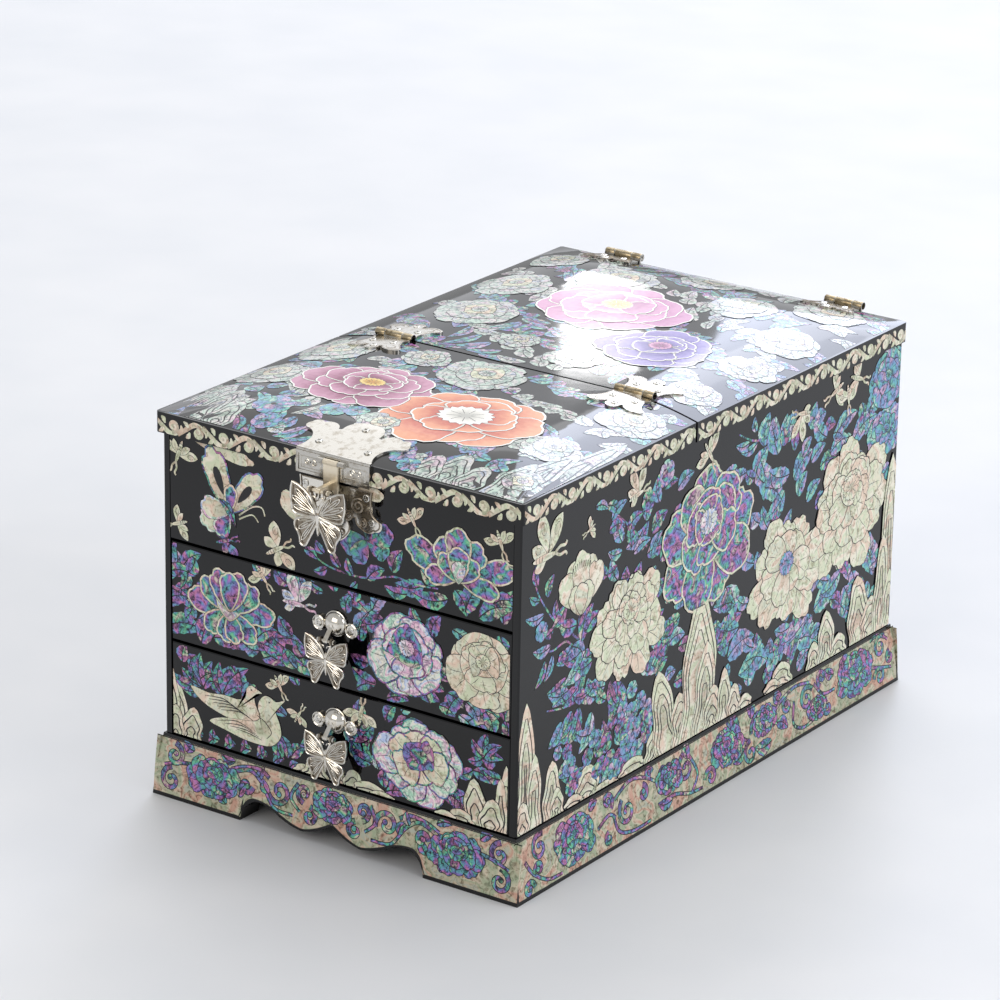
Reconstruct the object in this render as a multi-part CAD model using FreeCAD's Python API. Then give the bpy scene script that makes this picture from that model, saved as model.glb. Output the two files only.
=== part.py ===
import FreeCAD, Part
import math
import os

# A lacquered jewellery box: a case on a flared plinth, two drawers, and a crowned lid in two leaves.
# Millimetres. X is the width, Y runs from the front to the back, Z is up from the table.
# While it is built, y = 0 is the front face of the case. At the end all of it is moved back or
# forth along Y, so that the origin lies below the middle of the whole box.

V = FreeCAD.Vector
X_AXIS = V(1, 0, 0)
Y_AXIS = V(0, 1, 0)
Z_AXIS = V(0, 0, 1)

# Case
body_width = 215.0
body_depth = 350.0
side_thickness = 8.0
back_thickness = 6.0
shelf_thickness = 4.0
front_strip = 4.0            # edge of each side panel that shows beside the fronts
front_thickness = 8.0
fixed_front_height = 55.3
upper_front_height = 52.1
lower_front_height = 49.6
row_gap = 1.4                # between two fronts, one above the other
edge_gap = 0.7               # beside a drawer front
stop_gap = 0.3               # behind a closed drawer front
arris = 0.5                  # small bevel on the edges of the fronts
case_arris = 0.8

# Plinth
plinth_height = 33.0
plinth_wall = 10.0
flare_top = 0.7              # how far the plinth stands out from the case, at its top
flare_foot = 4.9             # and at the table
flare_bulge = 0.4
apron_half_span = 56.4       # the scalloped cut-out of the front board
apron_peak = 11.8
apron_lobe = 4.3
apron_arch = 12.1
block_leg = 16.0
block_height = 20.0

# Drawers
drawer_wall = 5.0
drawer_bottom = 3.0
drawer_side_gap = 0.5
drawer_ride_gap = 0.3
drawer_head_gap = 4.0        # above the drawer's walls
drawer_tail_gap = 5.0        # behind the closed drawer
lining_wall = 1.2
lining_floor = 2.0
lining_drop = 3.0            # how far a lining ends below the wall that it covers

# Top compartment
divider_y = 196.0
divider_thickness = 5.0
divider_drop = 14.0
roll_count = 7
roll_gap = 0.6
roll_height = 26.0

# Lid
lid_overhang = 2.5           # at the front and at both sides
lid_back_gap = 0.3
lid_edge_height = 10.7
lid_crown = 7.0
crown_border = 50.0          # width of the border in which the top swells up
lid_corner_radius = 1.8
seam_offset = 148.5          # from the lid's front edge
seam_gap = 1.5
pocket_margin = 16.0
mirror_thickness = 3.0
mirror_bead = 7.0
mirror_lip = 1.5
lid_lining_thickness = 1.6

# Hinges
leaf_thickness = 1.2
barrel_radius = 2.1
barrel_length = 23.0
middle_knuckle = 10.7
knuckle_gap = 0.15
pin_radius = 0.9
pin_gap = 0.06
barrel_relief = 0.3
leaf_pattern_width = 23.0    # barrel length that the leaf's outline is drawn for
knuckle_root = 0.6           # root of a knuckle beyond its barrel
fold_gap = 0.13              # between the hinge axis and the top of the leaf beside it
mid_hinge_x = 73.5
rear_hinge_x = 70.0
rear_axis_out = 2.3          # rear hinge axis behind the case
rear_axis_up = 2.3           # and above the lid's edge

# Screws
screw_head_radius = 1.9
screw_head_height = 0.9
screw_head_sunk = 0.5
screw_head_taper = 0.5       # from the head's rim to its top
screw_shank_radius = 0.9
screw_length = 6.0
screw_play = 0.1
screw_tip_play = 0.02
head_sides = 10              # small round pieces are modelled with flats
shank_sides = 4
pin_sides = 12
ring_sides = 20
barrel_sides = 16

# Latch
latch_half_width = 22.0
latch_pattern_half = 22.0    # half width that the latch's outlines are drawn for
latch_thickness = 1.2
latch_rim = 0.5              # raised border of the flange
latch_rim_width = 1.4
flange_drop = 0.7            # flange below the lid's underside
window_half_width = 4.55
window_top_drop = 4.5        # from the lid's top edge down to the window
hasp_half_width = 4.3
hasp_thickness = 1.2
hasp_taper = 2.6             # corner cut off each prong of the fork
post_radius = 1.6            # of the post that carries the butterfly, at its root
post_tip_radius = 1.3
hasp_axis_out = 2.6          # hasp pin in front of the lid's edge
hasp_axis_down = 2.4         # and below the lid's top edge
hasp_barrel_radius = 1.5
hasp_pin_radius = 0.7
hasp_knuckle = 3.6
hasp_length = 17.8           # from its pin to the tip of the fork
fork_half_slot = 1.9
fork_depth = 4.2
stud_radius = 1.45
stud_from_tip = 2.4
stud_reach = 2.0             # stud in front of the hasp
stud_root = 5.0              # and how deep it sits in the fixed front
lower_plate_drop = 3.2       # top of the lower plate below the top of the case
clasp_pivot_reach = 9.4      # pivot of the butterfly in front of the hasp
clasp_pivot_down = 11.5      # and below the hasp pin
clasp_width = 32.4

# Drawer pulls
pull_width = 25.5
pull_pivot_reach = 8.5
pull_pivot_down = 6.6        # pivot below the middle of the dome
pull_dome_radius = 6.3
pull_dome_height = 5.0
pull_dome_turns = (0, 30, 55, 75)    # degrees up the dome at which its rings lie
pull_ring_radius = 3.9
pull_ring_thickness = 1.6
pull_ring_x = 9.8
pull_ring_down = 1.5
pull_centre_up = 33.3        # dome above the lower edge of the drawer front
pull_post_radius = 2.3
pull_post_root = 2.6         # root of the post in front of the drawer
pull_post_down = 1.5         # and below the middle of the dome

# Butterflies, as parts of their wing span
eye_radius = 1.75
eye_thickness = 1.1
feeler_half = 0.55
trunnion_radius = 0.75
trunnion_play = 0.08
post_half_width = 1.3
cap_radius = 1.3
cap_thickness = 0.8
wing_thickness = 1.3
wing_rim = 0.4
wing_rim_width = 0.9
trunk_sides = 8
trunk_sections = ((3.2, 0.45), (1.0, 1.15), (-7.6, 0.45))    # height and radius
eye_rise = 10.0              # of the eyes above the middle of the butterfly
feeler_foot = 1.6            # height of the feelers' feet

# Heights and depths that follow from the sizes above
half_body = body_width / 2
half_inner = half_body - side_thickness
half_opening = half_body - front_strip
rabbet = front_thickness + stop_gap
inner_back = body_depth - back_thickness
lower_front_z = plinth_height + row_gap / 2
upper_front_z = lower_front_z + lower_front_height + row_gap
fixed_front_z = upper_front_z + upper_front_height + row_gap
body_top = fixed_front_z + fixed_front_height
shelf_top = upper_front_z - row_gap / 2 + shelf_thickness / 2
bottom_top = plinth_height + shelf_thickness
floor_top = fixed_front_z + shelf_thickness

lid_half = half_body + lid_overhang
lid_front_y = -lid_overhang
lid_back_y = body_depth - lid_back_gap
lid_edge_z = body_top + lid_edge_height
seam_y = lid_front_y + seam_offset


def swell(distance):
    """The crown's rise at a distance from the edge: a parabola over the border, then level."""
    if distance >= crown_border:
        return 1.0
    return 1.0 - (1.0 - distance / crown_border) ** 2


def crown_z(x, y):
    """Height of the lid's top surface."""
    across = swell(lid_half - abs(x))
    along = swell(min(y - lid_front_y, lid_back_y - y))
    return lid_edge_z + lid_crown * across * along


mid_axis_z = crown_z(mid_hinge_x - barrel_length / 2, seam_y) + leaf_thickness + fold_gap
rear_axis_y = body_depth + rear_axis_out
rear_axis_z = lid_edge_z + rear_axis_up
hasp_axis_y = lid_front_y - hasp_axis_out
hasp_axis_z = lid_edge_z - hasp_axis_down
hasp_front_y = hasp_axis_y - hasp_thickness / 2
hasp_tip_z = hasp_axis_z - hasp_length
clasp_pivot_y = hasp_front_y - clasp_pivot_reach
clasp_pivot_z = hasp_axis_z - clasp_pivot_down
pull_pivot_y = -pull_pivot_reach
centre_y = (clasp_pivot_y - eye_radius + body_depth + flare_foot) / 2

nodes = {}


# Small helpers

def box(x0, x1, y0, y1, z0, z1):
    return Part.makeBox(x1 - x0, y1 - y0, z1 - z0, V(x0, y0, z0))


def wide_box(half_width, y0, y1, z0, z1):
    return box(-half_width, half_width, y0, y1, z0, z1)


def flat_ring(middle, axis, radius, sides):
    """A regular polygon round an axis that lies along X, Y or Z."""
    across = V(axis.y, axis.z, axis.x)
    beside = axis.cross(across)
    points = []
    for index in range(sides):
        turn = 2 * math.pi * index / sides
        points.append(middle + across * (radius * math.cos(turn)) + beside * (radius * math.sin(turn)))
    return Part.makePolygon(points + points[:1])


def peg(start, axis, radius, length, sides):
    """A small round piece or hole, with flats so that it has few faces."""
    return Part.Face(flat_ring(start, axis, radius, sides)).extrude(axis * length)


def bore(start, axis, radius, length, sides):
    """A hole with flats that lie at the radius, so that a round piece of that radius clears them."""
    return peg(start, axis, radius / math.cos(math.pi / sides), length, sides)


def arc(a, b, c):
    return Part.Arc(a, b, c).toShape()


def line(a, b):
    return Part.makeLine(a, b)


def mirrored(shape):
    """The shape and its copy on the other side of the middle plane."""
    return [shape, shape.mirror(V(0, 0, 0), X_AXIS)]


def edges_along(shape, axis, keep):
    """Straight edges parallel to an axis whose middle point passes a test."""
    found = []
    for edge in shape.Edges:
        if len(edge.Vertexes) < 2:
            continue
        ends = edge.Vertexes[1].Point - edge.Vertexes[0].Point
        if ends.Length < 1e-6 or abs(abs(ends.normalize().dot(axis)) - 1) > 1e-6:
            continue
        if keep(edge.CenterOfMass):
            found.append(edge)
    return found


def outline_face(half, to_point):
    """A face from half an outline, given as (start, middle, end) arcs from x > 0 round to x = 0.

    The first arc starts at the right end of a straight base line, and the other half is its mirror.
    """
    edges = []
    for a, b, c in half:
        edges.append(arc(to_point(*a), to_point(*b), to_point(*c)))
        edges.append(arc(*(to_point(-p[0], p[1]) for p in (a, b, c))))
    start = half[0][0]
    edges.append(line(to_point(*start), to_point(-start[0], start[1])))
    wire = Part.Wire(Part.__sortEdges__(edges))
    return Part.Face(wire)


# Case

def side_panel(side):
    panel = box(half_inner, half_body, 0, body_depth, plinth_height, body_top)
    panel = panel.makeChamfer(case_arris, edges_along(panel, Z_AXIS, lambda p: p.x > half_body - 0.1))
    panel = panel.cut(box(half_inner, half_opening, 0, rabbet, plinth_height, body_top))
    if side < 0:
        panel = panel.mirror(V(0, 0, 0), X_AXIS)
    return panel


def front_board(half_width, thickness, z0, z1):
    """A board with its front edges bevelled."""
    board = wide_box(half_width, 0, thickness, z0, z1)
    edges = [edge for edge in board.Edges if edge.BoundBox.YMax < 1e-6]
    return board.makeChamfer(arris, edges)


def add_case():
    nodes["left_side_panel"] = side_panel(-1)
    nodes["right_side_panel"] = side_panel(1)
    nodes["back_panel"] = wide_box(half_inner, inner_back, body_depth, plinth_height, body_top)
    nodes["upper_front_panel"] = front_board(half_opening, rabbet, fixed_front_z, body_top)
    nodes["compartment_floor"] = wide_box(half_inner, rabbet, inner_back, fixed_front_z, floor_top)
    shelf_bottom = shelf_top - shelf_thickness
    nodes["drawer_shelf"] = wide_box(half_inner, rabbet, inner_back, shelf_bottom, shelf_top)
    nodes["bottom_panel"] = wide_box(half_inner, rabbet, inner_back, plinth_height, bottom_top)


# Plinth

def plinth_moulding(length):
    """A board of the plinth along X, with its back face at y = plinth_wall and its face flared."""
    middle = V(0, -(flare_top + flare_foot) / 2 - flare_bulge, plinth_height / 2)
    foot = V(0, -flare_foot, 0)
    top = V(0, -flare_top, plinth_height)
    back_top = V(0, plinth_wall, plinth_height)
    back_foot = V(0, plinth_wall, 0)
    edges = [arc(foot, middle, top), line(top, back_top), line(back_top, back_foot), line(back_foot, foot)]
    moulding = Part.Face(Part.Wire(edges)).extrude(V(length, 0, 0))
    moulding.translate(V(-length / 2, 0, 0))
    return moulding


def mitred_board(run):
    """A plinth board for a side of the given length, cut at 45 degrees at both ends."""
    reach = flare_foot + flare_bulge + 1.0
    corners = [
        V(-run / 2 - reach, -reach, 0),
        V(run / 2 + reach, -reach, 0),
        V(run / 2 - plinth_wall, plinth_wall, 0),
        V(-run / 2 + plinth_wall, plinth_wall, 0),
    ]
    mitre = Part.Face(Part.makePolygon(corners + corners[:1])).extrude(V(0, 0, plinth_height))
    return plinth_moulding(run + 2 * reach).common(mitre)


def apron_cutter():
    """The scalloped opening of the front board: a cusp, two lobes and two side arches."""
    def place(x, z):
        return V(x * apron_half_span, -flare_foot - 5, z)
    low = apron_lobe
    dip = apron_lobe + 0.28 * (apron_arch - apron_lobe)
    shoulder = apron_lobe + 0.77 * (apron_arch - apron_lobe)
    half = [
        ((1.0, 0), (0.94, 0.69 * apron_arch), (0.84, apron_arch)),
        ((0.84, apron_arch), (0.75, 0.99 * apron_arch), (0.647, shoulder)),
        ((0.647, shoulder), (0.505, dip), (0.32, low)),
        ((0.32, low), (0.115, low + 0.47 * (apron_peak - low)), (0, apron_peak)),
    ]
    return outline_face(half, place).extrude(V(0, flare_foot + plinth_wall + 10, 0))


def corner_block():
    """A glue block in a corner of the plinth, below the bottom panel."""
    x = half_body - plinth_wall
    y = plinth_wall
    points = [V(x, y, 0), V(x - block_leg, y, 0), V(x, y + block_leg, 0), V(x, y, 0)]
    block = Part.Face(Part.makePolygon(points)).extrude(V(0, 0, block_height))
    block.translate(V(0, 0, plinth_height - block_height))
    return block


def add_plinth():
    half_turn = V(0, body_depth / 2, 0)
    front = mitred_board(body_width)
    back = front.copy()
    back.rotate(half_turn, Z_AXIS, 180)
    right = mitred_board(body_depth)
    right.rotate(V(0, 0, 0), Z_AXIS, 90)
    right.translate(V(half_body, body_depth / 2, 0))
    left = right.mirror(V(0, 0, 0), X_AXIS)
    nodes["plinth_front"] = front.cut(apron_cutter())
    nodes["plinth_back"] = back
    nodes["plinth_right"] = right
    nodes["plinth_left"] = left
    blocks = mirrored(corner_block())
    for block in blocks[:]:
        blocks.append(block.mirror(half_turn, Y_AXIS))
    nodes["plinth_corner_blocks"] = Part.makeCompound(blocks)


# Inside of the top compartment

def open_tray(half_width, y0, y1, z0, z1, wall, floor):
    """An open tray with thin walls."""
    hollow = wide_box(half_width - wall, y0 + wall, y1 - wall, z0 + floor, z1 + 1)
    return wide_box(half_width, y0, y1, z0, z1).cut(hollow)


def ring_roll(y0, width, half_length, z0):
    """A padded roll for rings: upright sides, a round crown, and ends that slope in."""
    radius = width / 2
    middle = y0 + radius
    shoulder = z0 + roll_height - radius
    edges = [
        line(V(0, y0, z0), V(0, y0 + width, z0)),
        line(V(0, y0 + width, z0), V(0, y0 + width, shoulder)),
        arc(V(0, y0 + width, shoulder), V(0, middle, z0 + roll_height), V(0, y0, shoulder)),
        line(V(0, y0, shoulder), V(0, y0, z0)),
    ]
    roll = Part.Face(Part.Wire(edges)).extrude(V(2 * half_length, 0, 0))
    roll.translate(V(-half_length, 0, 0))
    crest = z0 + roll_height
    for side in (-1, 1):
        points = [V(side * half_length, y0, shoulder), V(side * (half_length + 1), y0, shoulder),
                  V(side * (half_length + 1), y0, crest + 1), V(side * (half_length - radius / 2), y0, crest + 1)]
        roll = roll.cut(Part.Face(Part.makePolygon(points + points[:1])).extrude(V(0, width, 0)))
    return roll


def add_compartment():
    lining_top = body_top - lining_drop
    inner_front = rabbet
    nodes["compartment_lining"] = open_tray(
        half_inner, inner_front, inner_back, floor_top, lining_top, lining_wall, lining_floor)
    half_clear = half_inner - lining_wall
    bed = floor_top + lining_floor
    divider = wide_box(half_clear, divider_y, divider_y + divider_thickness, bed, lining_top - divider_drop)
    top_edges = edges_along(divider, X_AXIS, lambda p: p.z > bed + 1)
    nodes["compartment_divider"] = divider.makeFillet(0.45 * divider_thickness, top_edges)
    start = divider_y + divider_thickness
    pitch = (inner_back - lining_wall - start) / roll_count
    rolls = []
    for index in range(roll_count):
        y0 = start + index * pitch + roll_gap / 2
        rolls.append(ring_roll(y0, pitch - roll_gap, half_clear - roll_gap, bed))
    nodes["ring_rolls"] = Part.makeCompound(rolls)


# Lid

def clamped_knots(low, high):
    return [low, low + crown_border, high - crown_border, high]


def crown_face():
    """The lid's pillow top as one biquadratic surface: level in the middle, round towards its edges."""
    def greville(knots):
        a, b, c, d = knots
        return [a, (a + b) / 2, (b + c) / 2, (c + d) / 2, d]
    knots_x = clamped_knots(-lid_half, lid_half)
    knots_y = clamped_knots(lid_front_y, lid_back_y)
    poles = []
    for i, x in enumerate(greville(knots_x)):
        row = []
        for j, y in enumerate(greville(knots_y)):
            inner = 0 < i < 4 and 0 < j < 4
            row.append(V(x, y, lid_edge_z + (lid_crown if inner else 0)))
        poles.append(row)
    surface = Part.BSplineSurface()
    surface.buildFromPolesMultsKnots(
        poles, [3, 1, 1, 3], [3, 1, 1, 3], knots_x, knots_y, False, False, 2, 2)
    return surface.toShape()


def crown_slab(low, high):
    """The space between two heights above the lid's top surface."""
    face = crown_face()
    face.translate(V(0, 0, low))
    return face.extrude(V(0, 0, high - low))


def lid_blank():
    """The whole lid before it is sawn into two leaves."""
    depth = lid_edge_height + lid_crown + 2
    block = wide_box(lid_half, lid_front_y, lid_back_y, body_top, lid_edge_z + lid_crown + 1)
    blank = crown_slab(-depth, 0).common(block)
    upright = edges_along(blank, Z_AXIS, lambda p: True)
    return blank.makeFillet(lid_corner_radius, upright)


def leaf_of_lid(blank, y0, y1):
    """One leaf of the lid, relieved round the barrels on the seam."""
    leaf = blank.common(wide_box(lid_half + 1, y0, y1, body_top, lid_edge_z + lid_crown + 1))
    for side in (-1, 1):
        x0 = side * mid_hinge_x - barrel_length / 2 - barrel_relief
        start = V(x0, seam_y, mid_axis_z)
        leaf = leaf.cut(bore(start, X_AXIS, barrel_radius + barrel_relief, barrel_length + 2 * barrel_relief,
                             barrel_sides))
    return leaf


def add_lid():
    blank = lid_blank()
    front = leaf_of_lid(blank, lid_front_y - 1, seam_y - seam_gap / 2)
    rear = leaf_of_lid(blank, seam_y + seam_gap / 2, lid_back_y + 1)
    half_pocket = half_inner - pocket_margin / 2
    front_y0 = rabbet + pocket_margin / 2
    front_y1 = seam_y - pocket_margin
    pocket = wide_box(half_pocket, front_y0, front_y1, body_top, body_top + lid_lining_thickness)
    nodes["front_lid_panel"] = front.cut(pocket)
    nodes["front_lid_lining"] = pocket
    rear_y0 = seam_y + pocket_margin
    rear_y1 = inner_back - pocket_margin / 2
    recess = wide_box(half_pocket, rear_y0, rear_y1, body_top, body_top + mirror_thickness + mirror_lip)
    nodes["rear_lid_panel"] = rear.cut(recess)
    glass_z = body_top + mirror_lip
    glass = wide_box(half_pocket, rear_y0, rear_y1, glass_z, glass_z + mirror_thickness)
    nodes["lid_mirror"] = glass
    sight = wide_box(half_pocket - mirror_bead, rear_y0 + mirror_bead, rear_y1 - mirror_bead, body_top - 1, glass_z + 1)
    frame = wide_box(half_pocket, rear_y0, rear_y1, body_top, glass_z).cut(sight)
    nodes["mirror_frame"] = frame


# Screws, plates and hinges

def screw(seat, normal):
    """A screw with a tapered head. The seat is the middle of the head's underside."""
    foot = flat_ring(seat, normal, screw_head_radius, head_sides)
    top = flat_ring(seat + normal * screw_head_height, normal, screw_head_radius - screw_head_taper, head_sides)
    head = Part.makeLoft([foot, top], True, True)
    return head.fuse(peg(seat, -normal, screw_shank_radius, screw_length, shank_sides)).removeSplitter()


def screw_seat(seat, normal):
    """What is cut away for a screw: a flat seat for its head and a pilot hole."""
    head = peg(seat, normal, screw_head_radius + screw_play, screw_head_height + 2, head_sides)
    return head.fuse(peg(seat, -normal, screw_shank_radius + screw_tip_play, screw_length + screw_play, shank_sides))


HINGE_LEAF = [
    ((11.5, 0.0), (10.9, 9.5), (15.6, 16.6)),
    ((15.6, 16.6), (16.1, 19.1), (14.2, 20.5)),
    ((14.2, 20.5), (9.6, 21.4), (5.6, 19.4)),
    ((5.6, 19.4), (4.7, 18.2), (3.9, 19.6)),
    ((3.9, 19.6), (2.9, 22.6), (0.0, 23.8)),
]
HINGE_SCREWS = [(-6.4, 10.5), (6.4, 10.5), (0.0, 18.8)]


def leaf_scale():
    return barrel_length / leaf_pattern_width


def hinge_outline(x, to_point):
    """The leaf's scrolled outline. Its width at the barrel is the barrel's length."""
    scale = leaf_scale()

    def place(across, out):
        return to_point(x + across * scale, out * scale)
    return outline_face(HINGE_LEAF, place)


def knuckles(x, own_middle, extra):
    """Spans along X of the middle knuckle, or of the two outer ones, each longer by twice extra."""
    half = barrel_length / 2
    middle = middle_knuckle / 2
    if own_middle:
        spans = [(x - middle, x + middle)]
    else:
        spans = [(x - half, x - middle - knuckle_gap), (x + middle + knuckle_gap, x + half)]
    return [(a - extra, b + extra) for a, b in spans]


def barrel_piece(spans, axis_y, axis_z, radius):
    pieces = [peg(V(a, axis_y, axis_z), X_AXIS, radius, b - a, barrel_sides) for a, b in spans]
    return pieces[0].multiFuse(pieces[1:]) if len(pieces) > 1 else pieces[0]


def flat_leaf(x, axis_y, axis_z, toward, own_middle):
    """A hinge leaf that lies on the lid's crown, with its knuckles.

    toward is -1 for a leaf in front of its axis, and 1 for one behind it.
    """
    def place(across, out):
        return V(across, axis_y + toward * out, lid_edge_z - 5)
    face = hinge_outline(x, place)
    up = V(0, 0, lid_crown + 30)
    plate = face.extrude(up).common(crown_slab(0, leaf_thickness))
    own = knuckles(x, own_middle, 0)
    other = knuckles(x, not own_middle, knuckle_gap)
    plate = plate.cut(barrel_piece(other, axis_y, axis_z, barrel_radius + barrel_relief))
    root_reach = barrel_radius + knuckle_root
    y0, y1 = sorted((axis_y, axis_y + toward * root_reach))
    roots = []
    for a, b in own:
        roots.append(box(a, b, y0, y1, lid_edge_z, axis_z - fold_gap))
    root = Part.makeCompound(roots).common(crown_slab(0, lid_crown))
    return plate, root, own


def pin_bore(axis_y, axis_z):
    """The bore for a hinge pin. The pin stays clear of its flats."""
    return bore(V(-lid_half, axis_y, axis_z), X_AXIS, pin_radius + pin_gap, 2 * lid_half, pin_sides)


def finish_leaf(plate, root, own, axis_y, axis_z):
    """Joins plate, roots and knuckles, and drills the barrel for its pin."""
    leaf = plate.fuse(root).fuse(barrel_piece(own, axis_y, axis_z, barrel_radius))
    leaf = leaf.cut(pin_bore(axis_y, axis_z))
    return leaf.removeSplitter()


def leaf_screws(x, axis_y, toward):
    """Seats of the screws of a leaf on the crown."""
    seats = []
    for across, out in HINGE_SCREWS:
        scale = leaf_scale()
        sx = x + across * scale
        sy = axis_y + toward * out * scale
        seats.append(V(sx, sy, crown_z(sx, sy) + leaf_thickness - screw_head_sunk))
    return seats


def hinge_pin(x, axis_y, axis_z):
    return peg(V(x - barrel_length / 2, axis_y, axis_z), X_AXIS, pin_radius, barrel_length, pin_sides)


def add_mid_hinges(screws):
    pins = []
    for side, word in ((-1, "left"), (1, "right")):
        x = side * mid_hinge_x
        for toward, leaf_name, own_middle in ((-1, "front", True), (1, "rear", False)):
            plate, root, own = flat_leaf(x, seam_y, mid_axis_z, toward, own_middle)
            leaf = finish_leaf(plate, root, own, seam_y, mid_axis_z)
            for seat in leaf_screws(x, seam_y, toward):
                leaf = leaf.cut(screw_seat(seat, Z_AXIS))
                screws[leaf_name].append((seat, Z_AXIS))
            nodes["mid_hinge_%s_leaf_%s" % (leaf_name, word)] = leaf
        pins.append(hinge_pin(x, seam_y, mid_axis_z))
    nodes["mid_hinge_pins"] = Part.makeCompound(pins)


def back_leaf(x):
    """The leaf screwed to the back of the case, with the outer knuckles."""
    def place(across, out):
        return V(across, body_depth, rear_axis_z - out)
    scale = leaf_scale()
    drop = body_top - leaf_thickness
    face = hinge_outline(x, place)
    face.translate(V(0, 0, drop - rear_axis_z))
    plate = face.extrude(V(0, leaf_thickness, 0))
    half = barrel_length / 2
    neck = box(x - half, x + half, body_depth, body_depth + leaf_thickness, drop - 0.5, rear_axis_z)
    lid_knuckle = middle_knuckle / 2 + knuckle_gap
    neck = neck.cut(box(x - lid_knuckle, x + lid_knuckle, body_depth - 1, body_depth + 3,
                        rear_axis_z - barrel_radius - 2 * barrel_relief, rear_axis_z + 1))
    own = knuckles(x, False, 0)
    leaf = plate.fuse(neck).fuse(barrel_piece(own, rear_axis_y, rear_axis_z, barrel_radius))
    leaf = leaf.cut(pin_bore(rear_axis_y, rear_axis_z))
    seats = []
    for across, out in HINGE_SCREWS:
        at = V(x + across * scale, body_depth + leaf_thickness - screw_head_sunk, drop - out * scale)
        leaf = leaf.cut(screw_seat(at, Y_AXIS))
        seats.append((at, Y_AXIS))
    return leaf.removeSplitter(), seats


def add_rear_hinges(screws):
    pins = []
    for side, word in ((-1, "left"), (1, "right")):
        x = side * rear_hinge_x
        plate, root, own = flat_leaf(x, rear_axis_y, rear_axis_z, -1, True)
        a, b = own[0]
        root = box(a, b, lid_back_y - 2, rear_axis_y, lid_edge_z, lid_edge_z + leaf_thickness)
        root = root.cut(crown_slab(-lid_crown, 0))
        leaf = finish_leaf(plate, root, own, rear_axis_y, rear_axis_z)
        for seat in leaf_screws(x, rear_axis_y, -1):
            leaf = leaf.cut(screw_seat(seat, Z_AXIS))
            screws["rear"].append((seat, Z_AXIS))
        nodes["rear_hinge_lid_leaf_%s" % word] = leaf
        leaf, seats = back_leaf(x)
        screws["case"].extend(seats)
        nodes["rear_hinge_back_leaf_%s" % word] = leaf
        pins.append(hinge_pin(x, rear_axis_y, rear_axis_z))
    nodes["rear_hinge_pins"] = Part.makeCompound(pins)


# Latch

TOP_PLATE = [
    ((22.0, 0.0), (20.3, 8.5), (27.3, 15.4)),
    ((27.3, 15.4), (30.3, 17.6), (29.2, 21.2)),
    ((29.2, 21.2), (26.2, 24.4), (23.6, 23.3)),
    ((23.6, 23.3), (18.5, 25.0), (13.3, 21.6)),
    ((13.3, 21.6), (12.1, 20.3), (11.0, 21.9)),
    ((11.0, 21.9), (8.4, 28.9), (0.0, 31.4)),
]
TOP_PLATE_SCREWS = [(-14.6, 7.0), (14.6, 7.0), (0.0, 24.8)]
LOWER_PLATE = [
    ((22.0, 0.0), (21.6, 6.0), (22.3, 11.4)),
    ((22.3, 11.4), (24.6, 13.6), (27.2, 14.8)),
    ((27.2, 14.8), (26.6, 18.6), (23.3, 19.6)),
    ((23.3, 19.6), (19.8, 21.4), (16.6, 20.4)),
    ((16.6, 20.4), (13.6, 18.6), (12.4, 15.2)),
    ((12.4, 15.2), (9.4, 15.8), (7.4, 17.8)),
    ((7.4, 17.8), (8.6, 21.2), (7.4, 24.4)),
    ((7.4, 24.4), (4.4, 27.6), (0.0, 29.4)),
]
LOWER_PLATE_SCREWS = [(-18.2, 3.6), (18.2, 3.6), (-21.6, 15.6), (21.6, 15.6)]


def plate_scale():
    return latch_half_width / latch_pattern_half


def hasp_bore(half_width):
    """The bore for the hasp's pin, clear of the pin's flats."""
    return bore(V(-half_width, hasp_axis_y, hasp_axis_z), X_AXIS, hasp_pin_radius + pin_gap, 2 * half_width, pin_sides)


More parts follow.
